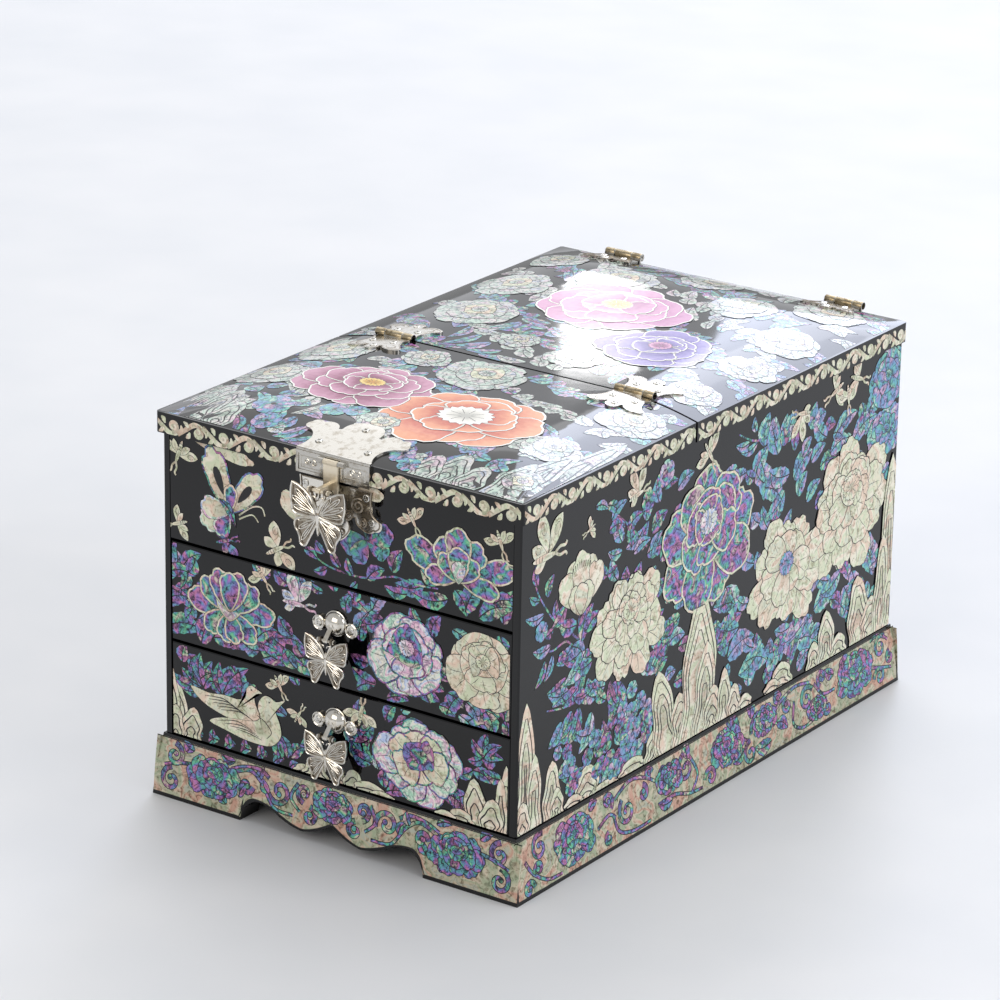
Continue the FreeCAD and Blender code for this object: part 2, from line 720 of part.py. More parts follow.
def top_plate(screws):
    """Plate on the lid, bent down over the lid's front edge as a flange that carries the hasp."""
    scale = plate_scale()
    rim_out = latch_thickness + latch_rim

    def place(across, back):
        return V(across * scale, lid_front_y + back * scale, lid_edge_z - 5)
    up = V(0, 0, lid_crown + 30)
    plate = outline_face(TOP_PLATE, place).extrude(up).common(crown_slab(0, latch_thickness))
    half = latch_half_width
    front = lid_front_y - latch_thickness
    flange_low = body_top - flange_drop
    flange = wide_box(half, front, lid_front_y, flange_low, lid_edge_z + latch_thickness)
    bend = [e for e in edges_along(flange, X_AXIS, lambda p: p.z > lid_edge_z and p.y < front + 0.1)]
    flange = flange.makeFillet(0.6 * latch_thickness, bend)
    rim_top = lid_edge_z - 0.3
    border = wide_box(half, lid_front_y - rim_out, front, flange_low, rim_top)
    for side in (-1, 1):
        x0, x1 = sorted((side * (window_half_width + latch_rim_width), side * (half - latch_rim_width)))
        field = box(x0, x1, front - 5, front, flange_low + latch_rim_width, rim_top - latch_rim_width)
        border = border.cut(field)
    window = wide_box(window_half_width, front - 5, lid_front_y + 1, flange_low - 1, lid_edge_z - window_top_drop)
    half_barrel = hasp_half_width + knuckle_gap + hasp_knuckle
    barrel = peg(V(-half_barrel, hasp_axis_y, hasp_axis_z), X_AXIS, hasp_barrel_radius, 2 * half_barrel, barrel_sides)
    shape = plate.multiFuse([flange, border])
    shape = shape.cut(window)
    clear = hasp_half_width + knuckle_gap
    shape = shape.fuse(barrel)
    shape = shape.cut(bore(V(-clear, hasp_axis_y, hasp_axis_z), X_AXIS, hasp_barrel_radius + barrel_relief,
                           2 * clear, barrel_sides))
    strap_low = hasp_axis_z
    shape = shape.cut(wide_box(clear, lid_front_y - rim_out - 5, hasp_axis_y + hasp_thickness / 2 + barrel_relief,
                               flange_low - 1, strap_low))
    shape = shape.cut(hasp_bore(half))
    shape = shape.cut(nodes["front_lid_panel"])
    for across, back in TOP_PLATE_SCREWS:
        x = across * scale
        y = lid_front_y + back * scale
        seat = V(x, y, crown_z(x, y) + latch_thickness - screw_head_sunk)
        shape = shape.cut(screw_seat(seat, Z_AXIS))
        screws["front"].append((seat, Z_AXIS))
    pin = peg(V(-half_barrel, hasp_axis_y, hasp_axis_z), X_AXIS, hasp_pin_radius, 2 * half_barrel, pin_sides)
    nodes["latch_top_plate"] = shape.removeSplitter()
    nodes["hasp_pin"] = pin


def link_plate(half_width, y0, z0, r0, y1, z1, r1):
    """A flat link across X: two round ends of different radius, joined by straight flanks."""
    a = V(-half_width, y0, z0)
    b = V(-half_width, y1, z1)
    along = (b - a).normalize()
    side = X_AXIS.cross(along)
    edges = [
        line(a + side * r0, b + side * r1),
        arc(b + side * r1, b + along * r1, b - side * r1),
        line(b - side * r1, a - side * r0),
        arc(a - side * r0, a - along * r0, a + side * r0),
    ]
    return Part.Face(Part.Wire(edges)).extrude(V(2 * half_width, 0, 0))


def trunnion(y, z, span):
    """The cross bar that a butterfly hangs on, with a cap at each end."""
    half = eye_offset(span) + eye_thickness / 2 + 0.3
    bar = peg(V(-half, y, z), X_AXIS, trunnion_radius, 2 * half, pin_sides)
    caps = []
    for x in (-half - cap_thickness, half):
        caps.append(peg(V(x, y, z), X_AXIS, cap_radius, cap_thickness, pin_sides))
    return bar.multiFuse(caps)


def hasp():
    """Strap with a knuckle above, a fork below and, on a post, the bar for the butterfly."""
    half = hasp_half_width
    rear = hasp_axis_y + hasp_thickness / 2
    strap = wide_box(half, hasp_front_y, rear, hasp_tip_z, hasp_axis_z)
    taper = hasp_taper
    for side in (-1, 1):
        points = [
            V(side * half, hasp_front_y - 1, hasp_tip_z + 2 * taper),
            V(side * (half + 1), hasp_front_y - 1, hasp_tip_z + 2 * taper),
            V(side * (half + 1), hasp_front_y - 1, hasp_tip_z - 1),
            V(side * (half - 0.4 * taper), hasp_front_y - 1, hasp_tip_z - 1),
        ]
        wedge = Part.Face(Part.makePolygon(points + points[:1])).extrude(V(0, hasp_thickness + 2, 0))
        strap = strap.cut(wedge)
    slot = wide_box(fork_half_slot, hasp_front_y - 1, rear + 1, hasp_tip_z - 1, hasp_tip_z + fork_depth - fork_half_slot)
    crown = peg(V(0, hasp_front_y - 1, hasp_tip_z + fork_depth - fork_half_slot), Y_AXIS, fork_half_slot,
                hasp_thickness + 2, pin_sides)
    strap = strap.cut(slot.fuse(crown))
    knuckle = peg(V(-half, hasp_axis_y, hasp_axis_z), X_AXIS, hasp_barrel_radius, 2 * half, barrel_sides)
    post_root = hasp_front_y - 0.4
    post = link_plate(post_half_width, post_root, clasp_pivot_z, post_radius, clasp_pivot_y, clasp_pivot_z,
                      post_tip_radius)
    post = post.cut(wide_box(half, hasp_front_y + 0.2, 50, hasp_tip_z, hasp_axis_z))
    shape = strap.multiFuse([knuckle, post, trunnion(clasp_pivot_y, clasp_pivot_z, clasp_width)])
    shape = shape.cut(hasp_bore(half + 1))
    return shape.removeSplitter()


def lower_plate(screws):
    """Plate on the fixed front, with the stud that the fork of the hasp straddles."""
    scale = plate_scale()
    top = body_top - lower_plate_drop

    def place(across, down):
        return V(across * scale, 0, top - down * scale)
    plate = outline_face(LOWER_PLATE, place).extrude(V(0, -latch_thickness, 0))
    stud_z = hasp_tip_z + stud_from_tip
    reach = -hasp_front_y + stud_reach
    root = V(0, stud_root, stud_z)
    stud = peg(root, -Y_AXIS, stud_radius, reach + stud_root, pin_sides)
    tip = [edge for edge in stud.Edges if edge.BoundBox.YMax < -reach + 0.01]
    nodes["latch_stud"] = stud.makeChamfer(0.4 * stud_radius, tip)
    hole = peg(root, -Y_AXIS, stud_radius + screw_tip_play, reach + stud_root, pin_sides)
    nodes["upper_front_panel"] = nodes["upper_front_panel"].cut(hole)
    shape = plate.cut(hole)
    for across, down in LOWER_PLATE_SCREWS:
        seat = V(across * scale, -latch_thickness + screw_head_sunk, top - down * scale)
        shape = shape.cut(screw_seat(seat, -Y_AXIS))
        screws["case"].append((seat, -Y_AXIS))
    nodes["latch_lower_plate"] = shape.removeSplitter()


# Butterflies

WING_SPAN = 25.5
UPPER_WING = [
    ((0.3, 1.6), (5.6, 8.7), (12.1, 11.4)),
    ((12.1, 11.4), (12.75, 6.6), (12.0, 2.0)),
    ((12.0, 2.0), (11.4, -0.2), (9.6, -0.8)),
    ((9.6, -0.8), (5.2, -0.75), (0.3, -0.1)),
]
LOWER_WING = [
    ((0.3, -0.7), (5.8, -1.5), (9.7, -2.7)),
    ((9.7, -2.7), (10.9, -4.8), (9.7, -7.4)),
    ((9.7, -7.4), (8.6, -9.7), (8.3, -12.0)),
    ((8.3, -12.0), (6.6, -13.1), (5.0, -12.0)),
    ((5.0, -12.0), (2.9, -8.0), (0.3, -3.2)),
]


def eye_offset(span):
    return 3.4 * span / WING_SPAN


def wing(arcs, scale):
    """A wing's outline: arcs from its root round to its root again, closed by a short straight side."""
    def place(x, z):
        return V(x * scale, 0, z * scale)
    edges = [arc(place(*a), place(*b), place(*c)) for a, b, c in arcs]
    edges.append(line(place(*arcs[-1][2]), place(*arcs[0][0])))
    return Part.Face(Part.Wire(edges))


def butterfly(span, pivot_y, pivot_z):
    """A cast butterfly that hangs by two eyes at the ends of its feelers."""
    scale = span / WING_SPAN
    drop = eye_rise * scale
    foot_z = feeler_foot * scale
    pieces = []
    for arcs in (UPPER_WING, LOWER_WING):
        face = wing(arcs, scale)
        field = face.makeOffset2D(-wing_rim_width * scale).extrude(V(0, wing_rim, 0))
        plate = face.extrude(V(0, wing_thickness, 0)).cut(field)
        plate.translate(V(0, -wing_thickness / 2, 0))
        pieces.extend(mirrored(plate))
    trunk_rings = []
    for z, radius in trunk_sections:
        trunk_rings.append(flat_ring(V(0, 0, z * scale), Z_AXIS, radius * scale, trunk_sides))
    trunk = Part.makeLoft(trunk_rings, True, True)
    eye_x = eye_offset(span)
    reach = eye_x + eye_thickness
    inner = arc(V(0.2, 0, foot_z), V(1.6 * scale, 0, 5.4 * scale), V(eye_x - feeler_half, 0, drop))
    outer = arc(V(1.5, 0, foot_z), V(2.6 * scale, 0, 5.2 * scale), V(eye_x + feeler_half, 0, drop))
    top = line(V(eye_x - feeler_half, 0, drop), V(eye_x + feeler_half, 0, drop))
    foot = line(V(0.2, 0, foot_z), V(1.5, 0, foot_z))
    feeler = Part.Face(Part.Wire(Part.__sortEdges__([inner, top, outer, foot])))
    feeler = feeler.extrude(V(0, 2 * feeler_half, 0))
    feeler.translate(V(0, -feeler_half, 0))
    eye = peg(V(eye_x - eye_thickness / 2, 0, drop), X_AXIS, eye_radius, eye_thickness, pin_sides)
    hole = bore(V(-reach, 0, drop), X_AXIS, trunnion_radius + trunnion_play, 2 * reach, pin_sides)
    shape = trunk.multiFuse(pieces + mirrored(feeler.fuse(eye).cut(hole)))
    shape.translate(V(0, pivot_y, pivot_z - drop))
    return shape


# Drawers

def pull_base(centre_z):
    """A domed boss between two screw rings, with a post and a bar below it for the butterfly."""
    rings = []
    for turn in pull_dome_turns:
        out = pull_dome_height * math.sin(math.radians(turn))
        radius = pull_dome_radius * math.cos(math.radians(turn))
        rings.append(flat_ring(V(0, -out, centre_z), -Y_AXIS, radius, ring_sides))
    pieces = [Part.makeLoft(rings, True, True)]
    seats = []
    for side in (-1, 1):
        at = V(side * pull_ring_x, 0, centre_z - pull_ring_down)
        pieces.append(peg(at, -Y_AXIS, pull_ring_radius, pull_ring_thickness, ring_sides))
        seats.append(at + V(0, -pull_ring_thickness + screw_head_sunk, 0))
    pivot_z = centre_z - pull_pivot_down
    pieces.append(link_plate(post_half_width, -pull_post_root, centre_z - pull_post_down, pull_post_radius,
                             pull_pivot_y, pivot_z, post_tip_radius))
    pieces.append(trunnion(pull_pivot_y, pivot_z, pull_width))
    shape = pieces[0].multiFuse(pieces[1:])
    for seat in seats:
        shape = shape.cut(screw_seat(seat, -Y_AXIS))
    return shape.removeSplitter(), [(seat, -Y_AXIS) for seat in seats]


def add_drawer(name, front_z, front_height, rest_z, head_z):
    """A drawer: front, walls, bottom, lining and pull. It rests at rest_z, below head_z."""
    half = half_inner - drawer_side_gap
    z0 = rest_z + drawer_ride_gap
    z1 = head_z - drawer_head_gap
    y0 = front_thickness
    y1 = inner_back - drawer_tail_gap
    board = front_board(half_opening - edge_gap, front_thickness, front_z, front_z + front_height)
    wall = box(half - drawer_wall, half, y0, y1, z0, z1)
    nodes[name + "_side_walls"] = Part.makeCompound(mirrored(wall))
    nodes[name + "_back_wall"] = wide_box(half - drawer_wall, y1 - drawer_wall, y1, z0, z1)
    inner = half - drawer_wall
    nodes[name + "_bottom"] = wide_box(inner, y0, y1 - drawer_wall, z0, z0 + drawer_bottom)
    nodes[name + "_lining"] = open_tray(
        inner, y0, y1 - drawer_wall, z0 + drawer_bottom, z1 - lining_drop, lining_wall, lining_floor)
    centre_z = front_z + pull_centre_up
    base, seats = pull_base(centre_z)
    for seat, normal in seats:
        board = board.cut(screw_seat(seat, normal))
    nodes[name + "_front"] = board
    nodes[name + "_pull_base"] = base
    nodes[name + "_pull_screws"] = Part.makeCompound([screw(seat, normal) for seat, normal in seats])
    nodes[name + "_pull_butterfly"] = butterfly(pull_width, pull_pivot_y, centre_z - pull_pivot_down)


def add_screws(screws):
    """Groups of equal screws, and the pilot holes that they sit in."""
    carriers = {
        "front": ["front_lid_panel"],
        "rear": ["rear_lid_panel"],
        "case": ["back_panel", "upper_front_panel"],
    }
    names = {"front": "front_lid_screws", "rear": "rear_lid_screws", "case": "case_screws"}
    for group, seats in screws.items():
        nodes[names[group]] = Part.makeCompound([screw(seat, normal) for seat, normal in seats])
        holes = Part.makeCompound([screw_seat(seat, normal) for seat, normal in seats])
        for carrier in carriers[group]:
            nodes[carrier] = nodes[carrier].cut(holes)


def build():
    screws = {"front": [], "rear": [], "case": []}
    add_case()
    add_plinth()
    add_compartment()
    add_lid()
    add_mid_hinges(screws)
    add_rear_hinges(screws)
    top_plate(screws)
    lower_plate(screws)
    nodes["hasp"] = hasp()
    nodes["clasp_butterfly"] = butterfly(clasp_width, clasp_pivot_y, clasp_pivot_z)
    add_screws(screws)
    add_drawer("upper_drawer", upper_front_z, upper_front_height, shelf_top, fixed_front_z)
    add_drawer("lower_drawer", lower_front_z, lower_front_height, bottom_top, shelf_top - shelf_thickness)


def write_parts():
    os.makedirs("parts", exist_ok=True)
    for name, shape in nodes.items():
        shape.translate(V(0, -centre_y, 0))
        shape.exportStep("parts/%s.step" % name)
        print(name, len(shape.Solids), "solids, valid" if shape.isValid() else "solids, NOT VALID")


build()
write_parts()
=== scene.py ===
import math
import random

import bmesh
import bpy
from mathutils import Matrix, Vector


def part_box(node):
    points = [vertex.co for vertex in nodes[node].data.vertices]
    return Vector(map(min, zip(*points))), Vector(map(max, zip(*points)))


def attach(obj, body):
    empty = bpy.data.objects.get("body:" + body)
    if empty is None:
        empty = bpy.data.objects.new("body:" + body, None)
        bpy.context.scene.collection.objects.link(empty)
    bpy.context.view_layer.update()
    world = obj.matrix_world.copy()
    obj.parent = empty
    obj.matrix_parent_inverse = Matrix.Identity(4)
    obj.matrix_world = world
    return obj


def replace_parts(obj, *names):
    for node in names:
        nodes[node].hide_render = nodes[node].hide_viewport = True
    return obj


# A lacquered jewellery box with shell inlay. Places are worked out in millimetres: x across the box, y back
# from the front face of the case, z up from the table. The frame has its origin below the box's middle.

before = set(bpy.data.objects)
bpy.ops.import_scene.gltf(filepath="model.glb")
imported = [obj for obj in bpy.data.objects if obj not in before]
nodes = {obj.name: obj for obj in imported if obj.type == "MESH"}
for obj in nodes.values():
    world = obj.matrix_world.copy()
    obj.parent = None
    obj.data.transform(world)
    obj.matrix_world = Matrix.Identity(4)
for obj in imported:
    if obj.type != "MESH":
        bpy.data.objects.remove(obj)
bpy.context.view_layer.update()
bpy.ops.object.select_all(action="DESELECT")

MM = 0.001
MIDDLE_Y = 169.025           # the frame's origin, behind the front face of the case
CASE_HALF = 107.5
CASE_DEPTH = 350.0
LID_HALF = 110.0
LID_FRONT = -2.5
LID_BACK = 349.7
LID_EDGE = 204.2             # top of the lid's edge, where its crown begins
CROWN = 7.0
CROWN_BORDER = 50.0
SEAM = 148.5                 # from the lid's front edge
SEAM_Y = LID_FRONT + SEAM
PLINTH = 33.0

chance = random.Random(11)


def place(x, y, z):
    return Vector((x * MM, (y - MIDDLE_Y) * MM, z * MM))


def show(thing):
    """Puts a new object into the scene."""
    bpy.context.scene.collection.objects.link(thing)
    return thing


def pick(*pieces):
    """Selects these pieces alone, the first of them active."""
    bpy.ops.object.select_all(action="DESELECT")
    for piece in pieces:
        piece.select_set(True)
    bpy.context.view_layer.objects.active = pieces[0]


# Camera, table and light

def set_camera():
    data = bpy.data.cameras.new("camera")
    data.lens = 161.434
    data.sensor_width = 36.0
    data.clip_end = 50.0
    camera = show(bpy.data.objects.new("camera", data))
    camera.location = (1.21531, -1.780995, 0.922705)
    camera.rotation_euler = [math.radians(a) for a in (69.8572, -0.9425, 35.1483)]
    bpy.context.scene.camera = camera


def light_the_room():
    """Soft daylight from windows behind the box, and a dimmer room in front of it."""
    scene = bpy.context.scene
    scene.view_settings.view_transform = "Standard"
    world = bpy.data.worlds.new("daylight")
    world.use_nodes = True
    background = world.node_tree.nodes["Background"]
    background.inputs["Color"].default_value = linear("#f3f4f6")
    background.inputs["Strength"].default_value = 0.55
    scene.world = world
    for name, at, target, size, power, colour in [
            ("window", (-1.19, 2.85, 1.78), (0, 0, 0.2), (0.9, 1.55), 17, "#e0e8ff"),
            ("window_gap", (-1.742, 2.687, 1.221), (0, 0.1, 0.2), (0.1, 0.14), 0.34, "#ffffff"),
            ("curtain", (-1.95, 2.7, 1.2), (0, 0, 0.2), (3.4, 1.5), 11, "#f3f5fb"),
            ("ceiling_behind", (-1.5, 2.4, 2.9), (-0.7, 1.3, 0), (4.8, 3.8), 56, "#fbfbfc"),
            ("ceiling_over", (0.2, 0.4, 2.8), (0, 0, 0), (2.0, 2.0), 14, "#ffffff"),
            ("room_front", (-0.4, -3.0, 1.5), (0, 0, 0.1), (2.4, 1.6), 24, "#fff7ee"),
            ("room_right", (3.0, 0.5, 1.5), (0, 0, 0.1), (2.4, 1.6), 46, "#f8faff")]:
        data = bpy.data.lights.new(name, "AREA")
        data.shape = "RECTANGLE"
        data.size, data.size_y = size
        data.energy = power
        data.color = linear(colour)[:3]
        light = show(bpy.data.objects.new(name, data))
        light.location = at
        light.rotation_euler = (Vector(target) - Vector(at)).to_track_quat("-Z", "Y").to_euler()


def lay_the_table():
    bpy.ops.mesh.primitive_plane_add(size=14, location=(-1.5, 2.5, 0))
    table = bpy.context.object
    table.name = "table"
    table.data.materials.append(white_table)
    bpy.ops.object.select_all(action="DESELECT")


# Finishes

def linear(text):
    """An sRGB hex colour as linear red, green, blue and alpha."""
    values = [int(text[i:i + 2], 16) / 255 for i in (1, 3, 5)]
    return tuple(v / 12.92 if v < 0.04045 else ((v + 0.055) / 1.055) ** 2.4 for v in values) + (1.0,)


def add(tree, kind, settings):
    """Adds a node with its settings, by field or socket. A setting may be another node's socket."""
    node = tree.nodes.new(kind)
    for key, value in settings.items():
        if isinstance(value, bpy.types.NodeSocket):
            tree.links.new(value, node.inputs[key])
        elif isinstance(key, str) and hasattr(node, key):
            setattr(node, key, value)
        else:
            node.inputs[key].default_value = value
    return node


def maths(tree, operation, *values):
    settings = {"operation": operation, **dict(enumerate(values))}
    return add(tree, "ShaderNodeMath", settings).outputs["Value"]


def finish(name, base="#808080", **sockets):
    """A material with one shader, its sockets set, and the shader's tree to add to."""
    material = bpy.data.materials.new(name)
    material.use_nodes = True
    shader = material.node_tree.nodes["Principled BSDF"]
    shader.inputs["Base Color"].default_value = linear(base)
    for key, value in sockets.items():
        shader.inputs[key.replace("_", " ")].default_value = value
    return material, material.node_tree, shader


def coat(shader, colour, socket="Base Color"):
    shader.id_data.links.new(colour, shader.inputs[socket])


def grain(tree):
    """The channels of a cut of shell: its tone, the way along it and a second tone."""
    return add(tree, "ShaderNodeAttribute", {"attribute_name": "grain"}).outputs["Color"]


def way_along(tree):
    return add(tree, "ShaderNodeSeparateColor", {"Color": grain(tree)}).outputs["Green"]


def millimetres(tree, stretch=(1, 1, 1), by_piece=0.0):
    """Object coordinates in millimetres. by_piece shifts them from one cut of shell to the next."""
    here = add(tree, "ShaderNodeTexCoord", {}).outputs["Object"]
    scale = [s / MM for s in stretch]
    mapped = add(tree, "ShaderNodeMapping", {"Scale": scale, "Vector": here}).outputs["Vector"]
    if not by_piece:
        return mapped
    shift = add(tree, "ShaderNodeVectorMath", {"operation": "MULTIPLY", 0: grain(tree), 1: (by_piece, 0, by_piece)})
    moved = add(tree, "ShaderNodeVectorMath", {"operation": "ADD", 0: mapped, 1: shift.outputs["Vector"]})
    return moved.outputs["Vector"]


def noise(tree, at, scale, detail=2.0, rough=0.5, warp=0.0):
    settings = {"Scale": scale, "Detail": detail, "Roughness": rough, "Distortion": warp, "Vector": at}
    return add(tree, "ShaderNodeTexNoise", settings).outputs["Fac"]


def ramp(tree, socket, stops):
    """A colour ramp over (position, hex) stops. The ramp's own two elements take the first two."""
    node = add(tree, "ShaderNodeValToRGB", {"Fac": socket})
    elements = node.color_ramp.elements
    for index, (position, colour) in enumerate(stops):
        stop = elements[index] if index < 2 else elements.new(position)
        stop.position = position
        stop.color = linear(colour)
    return node.outputs["Color"]


def multiplied(tree, amount, low, high):
    settings = {"data_type": "RGBA", "blend_type": "MULTIPLY", 0: amount, 6: low, 7: high}
    return add(tree, "ShaderNodeMix", settings).outputs[2]


def bumped(tree, shader, height, strength, distance_mm):
    bump = add(tree, "ShaderNodeBump", {"Strength": strength, "Distance": distance_mm * MM, "Height": height})
    coat(shader, bump.outputs["Normal"], "Normal")


def make_lacquer():
    """Black polyester lacquer, sprayed and buffed: a deep gloss with a trace of orange peel."""
    material, tree, shader = finish("black_lacquer", "#040406", Roughness=0.05, IOR=1.48)
    at = millimetres(tree)
    coat(shader, ramp(tree, noise(tree, at, 0.02), [(0.35, "#030304"), (0.65, "#07070a")]))
    bumped(tree, shader, noise(tree, at, 0.12, 1.0), 0.04, 0.1)
    return material


def make_nacre(name, gloss, tints, cycles, patch, flecks, fleck):
    """Shell under lacquer. Its tint runs through a cycle of hues in patches a few millimetres wide, finer flecks
    of dull growth break it up, and each cut has a painted shade, a little deeper in tone towards its middle."""
    material, tree, shader = finish(name, tints[0][1], Roughness=gloss, IOR=1.5)
    at = millimetres(tree, by_piece=130.0)
    turns = maths(tree, "MULTIPLY", noise(tree, at, 1 / patch, 1.5, 0.5, 0.9), cycles)
    tint = ramp(tree, maths(tree, "FRACT", turns), tints)
    shade = ramp(tree, noise(tree, at, 1 / fleck, 2.0, 0.6, 1.4), flecks)
    # Painted shade: darker at the middle or foot of each cut, full tone towards its rim, to give it depth
    depth = ramp(tree, way_along(tree), [(0.0, "#b4aea6"), (0.6, "#ffffff")])
    coat(shader, multiplied(tree, 0.7, multiplied(tree, 1.0, tint, shade), depth))
    return material


def make_painted(name, deep, middle, pale):
    """Shell painted from behind: deep at the petal's foot and pale towards its end, under lacquer."""
    material, tree, shader = finish(name, middle, Roughness=0.16, IOR=1.5)
    drift = maths(tree, "MULTIPLY_ADD", noise(tree, millimetres(tree, by_piece=40.0), 0.3), 0.35, -0.17)
    along = maths(tree, "ADD", way_along(tree), drift)
    coat(shader, ramp(tree, along, [(0.15, deep), (0.9, pale), (0.55, middle)]))
    return material


def make_even(name, base, scale, low, high, **sockets):
    """An even finish, whose tone drifts a little between two colours."""
    material, tree, shader = finish(name, base, **sockets)
    coat(shader, ramp(tree, noise(tree, millimetres(tree), scale), [(0.3, low), (0.7, high)]))
    return material


def make_nickel(name, pale, dull, roughness):
    """Nickel-plated zinc casting: bright, and warm where the plating is thin."""
    material, tree, shader = finish(name, pale, Metallic=1.0, Roughness=roughness)
    at = millimetres(tree)
    cloud = noise(tree, at, 0.25, 3.0, 0.6)
    coat(shader, ramp(tree, cloud, [(0.3, dull), (0.5, pale)]))
    rough = add(tree, "ShaderNodeMapRange", {"To Min": roughness * 1.4, "To Max": roughness * 0.7, "Value": cloud})
    coat(shader, rough.outputs["Result"], "Roughness")
    bumped(tree, shader, noise(tree, at, 3.0), 0.1, 0.03)
    return material


def make_wood(name, pale, dark):
    """Planed board: grain drawn out along the board, thin rays, dull surface."""
    material, tree, shader = finish(name, pale, Roughness=0.62, IOR=1.5)
    rings = noise(tree, millimetres(tree, stretch=(0.18, 1.0, 1.0)), 0.22, 5.0, warp=0.7)
    coat(shader, ramp(tree, rings, [(0.3, dark), (0.7, pale)]))
    bumped(tree, shader, rings, 0.2, 0.15)
    return material


def make_velvet():
    """Dark red velvet: short pile, 0.5 mm tufts drawn a little coarse, brushed in patches."""
    material, tree, shader = finish("red_velvet", "#5c0f1c", Roughness=0.92, Sheen_Weight=0.8, Sheen_Roughness=0.35)
    shader.inputs["Sheen Tint"].default_value = linear("#c04a58")
    at = millimetres(tree)
    pile = noise(tree, at, 1.8)
    tint = ramp(tree, noise(tree, at, 0.05, warp=1.5), [(0.3, "#540d19"), (0.7, "#691422")])
    tuft = ramp(tree, pile, [(0.3, "#a8a8a8"), (0.7, "#ffffff")])
    coat(shader, multiplied(tree, 0.8, tint, tuft))
    bumped(tree, shader, pile, 0.6, 0.3)
    return material


def cycle(seam, *stops):
    """Tints of a cycle that begins and ends in the same one."""
    return [(0.0, seam), (1.0, seam), *stops]


lacquer = make_lacquer()
CREAM = cycle("#e6dfc6", (0.18, "#d3dcbc"), (0.36, "#efe9d6"), (0.54, "#e8cdb8"), (0.72, "#ddd6be"), (0.86, "#d6dcc8"))
PALE = cycle("#e6ebe2", (0.16, "#b4e2c8"), (0.32, "#f4f2e8"), (0.48, "#ecb9d6"), (0.64, "#eeeef0"), (0.76, "#b3c8f0"),
             (0.88, "#f2ecdd"))
# The lid's pale shell: a darker, greyer copy of the pale shell, painted shade that holds it down under the stronger
# light on the lid's top
PALE_SHADED_FOR_LID = cycle("#d5d6d2", (0.16, "#bed7c7"), (0.32, "#dedcd6"), (0.48, "#ddc2d0"), (0.64, "#d9d7d8"), (0.76, "#bfc9dc"),
             (0.88, "#ddd8d0"))
ROSY = cycle("#c4baa0", (0.18, "#a6b496"), (0.36, "#d6ccb4"), (0.54, "#cf9f8c"), (0.72, "#cdbfa6"), (0.86, "#b6bcac"))
ABALONE = cycle("#cc7eaa", (0.1, "#a578c2"), (0.2, "#7a7bbf"), (0.3, "#6ea5c2"), (0.42, "#58b3a3"), (0.53, "#70c493"),
                (0.63, "#c5d0b3"), (0.74, "#d6c2b8"), (0.87, "#996994"))
SEA = cycle("#aea1cf", (0.14, "#7b9ccc"), (0.28, "#6bb3c5"), (0.42, "#72c3af"), (0.56, "#b3d9c6"), (0.7, "#d4d7e2"),
            (0.84, "#d1a5c5"))
SHELLS = {
    "cream": make_nacre("mother_of_pearl", 0.1, CREAM, 2.6, 16.0, [(0.3, "#b9b3a4"), (0.5, "#ffffff")], 3.5),
    "pale": make_nacre("pale_mother_of_pearl", 0.09, PALE, 3.0, 12.0, [(0.34, "#9aa2ac"), (0.54, "#ffffff")], 3.0),
    # The thin shell is the lid's copy of the pale shell, darkened as painted shade for the light on the lid's top
    "thin": make_nacre("pale_mother_of_pearl_shaded_for_lid", 0.08, PALE_SHADED_FOR_LID, 2.2, 13.0, [(0.34, "#8a929c"), (0.54, "#ffffff")], 3.0),
    "rosy": make_nacre("rosy_mother_of_pearl", 0.12, ROSY, 2.6, 14.0, [(0.3, "#958c7c"), (0.52, "#ffffff")], 3.4),
    "abalone": make_nacre("abalone_shell", 0.09, ABALONE, 2.5, 9.0,
                          [(0.34, "#3a3348"), (0.56, "#ffffff"), (0.44, "#b4aec0")], 3.2),
    "sea": make_nacre("blue_abalone_shell", 0.09, SEA, 2.4, 9.5,
                      [(0.33, "#46505f"), (0.54, "#ffffff"), (0.43, "#bcc5d0")], 3.2),
    # Lines sawn into the shell and filled with black lacquer
    "ink": make_even("lacquer_filled_line", "#0e0d12", 0.5, "#0b0a0e", "#16141b", Roughness=0.1, IOR=1.5),
    "orange": make_painted("orange_painted_shell", "#9a3a44", "#cd6248", "#efa47c"),
    "mauve": make_painted("mauve_painted_shell", "#65243f", "#93456a", "#cb90ac"),
    "violet": make_painted("violet_painted_shell", "#3b2d7c", "#5f4da0", "#9283c4"),
    "pink": make_painted("pink_painted_shell", "#7c306e", "#a85892", "#d093bc"),
    "yellow": make_painted("yellow_painted_shell", "#c98a2c", "#e0b045", "#efd27e"),
    "white": make_painted("white_painted_shell", "#b9b8b0", "#e4e2d8", "#f7f6f0"),
}
nickel = make_nickel("nickel_plated_casting", "#e9e5dc", "#cfc6b4", 0.14)
strap_nickel = make_nickel("warm_nickel_strap", "#f3e8d2", "#e4d6bb", 0.32)
flat_nickel = make_nickel("flat_nickel_plate", "#cdcac3", "#aba498", 0.2)
# Brown patina, darker also as painted shade: the cast butterflies take it so that their hollows read as shaded round
# the raised nickel veins, and the raised borders and scrolls of the hinges and the lower plate take it too
tarnish_and_painted_shade = make_nickel("brown_tarnish_and_painted_shade", "#9b9183", "#6a5f51", 0.34)
hinge_brass = make_nickel("thin_plated_brass", "#b3a384", "#7d6d50", 0.22)
screw_steel = make_nickel("nickel_plated_steel", "#dcdad4", "#b5b0a5", 0.18)
board = make_wood("stained_board", "#4b3426", "#2c1d14")
bare_board = make_wood("planed_paulownia", "#c7a779", "#a9865a")
velvet = make_velvet()
mirror_glass = make_even("silvered_mirror", "#e9f0ee", 0.02, "#e3ebe8", "#eef4f2", Metallic=1.0, Roughness=0.015)
white_table = make_even("white_table_top", "#dddfe2", 0.01, "#dadcdf", "#e0e1e3", Roughness=0.5, IOR=1.45)


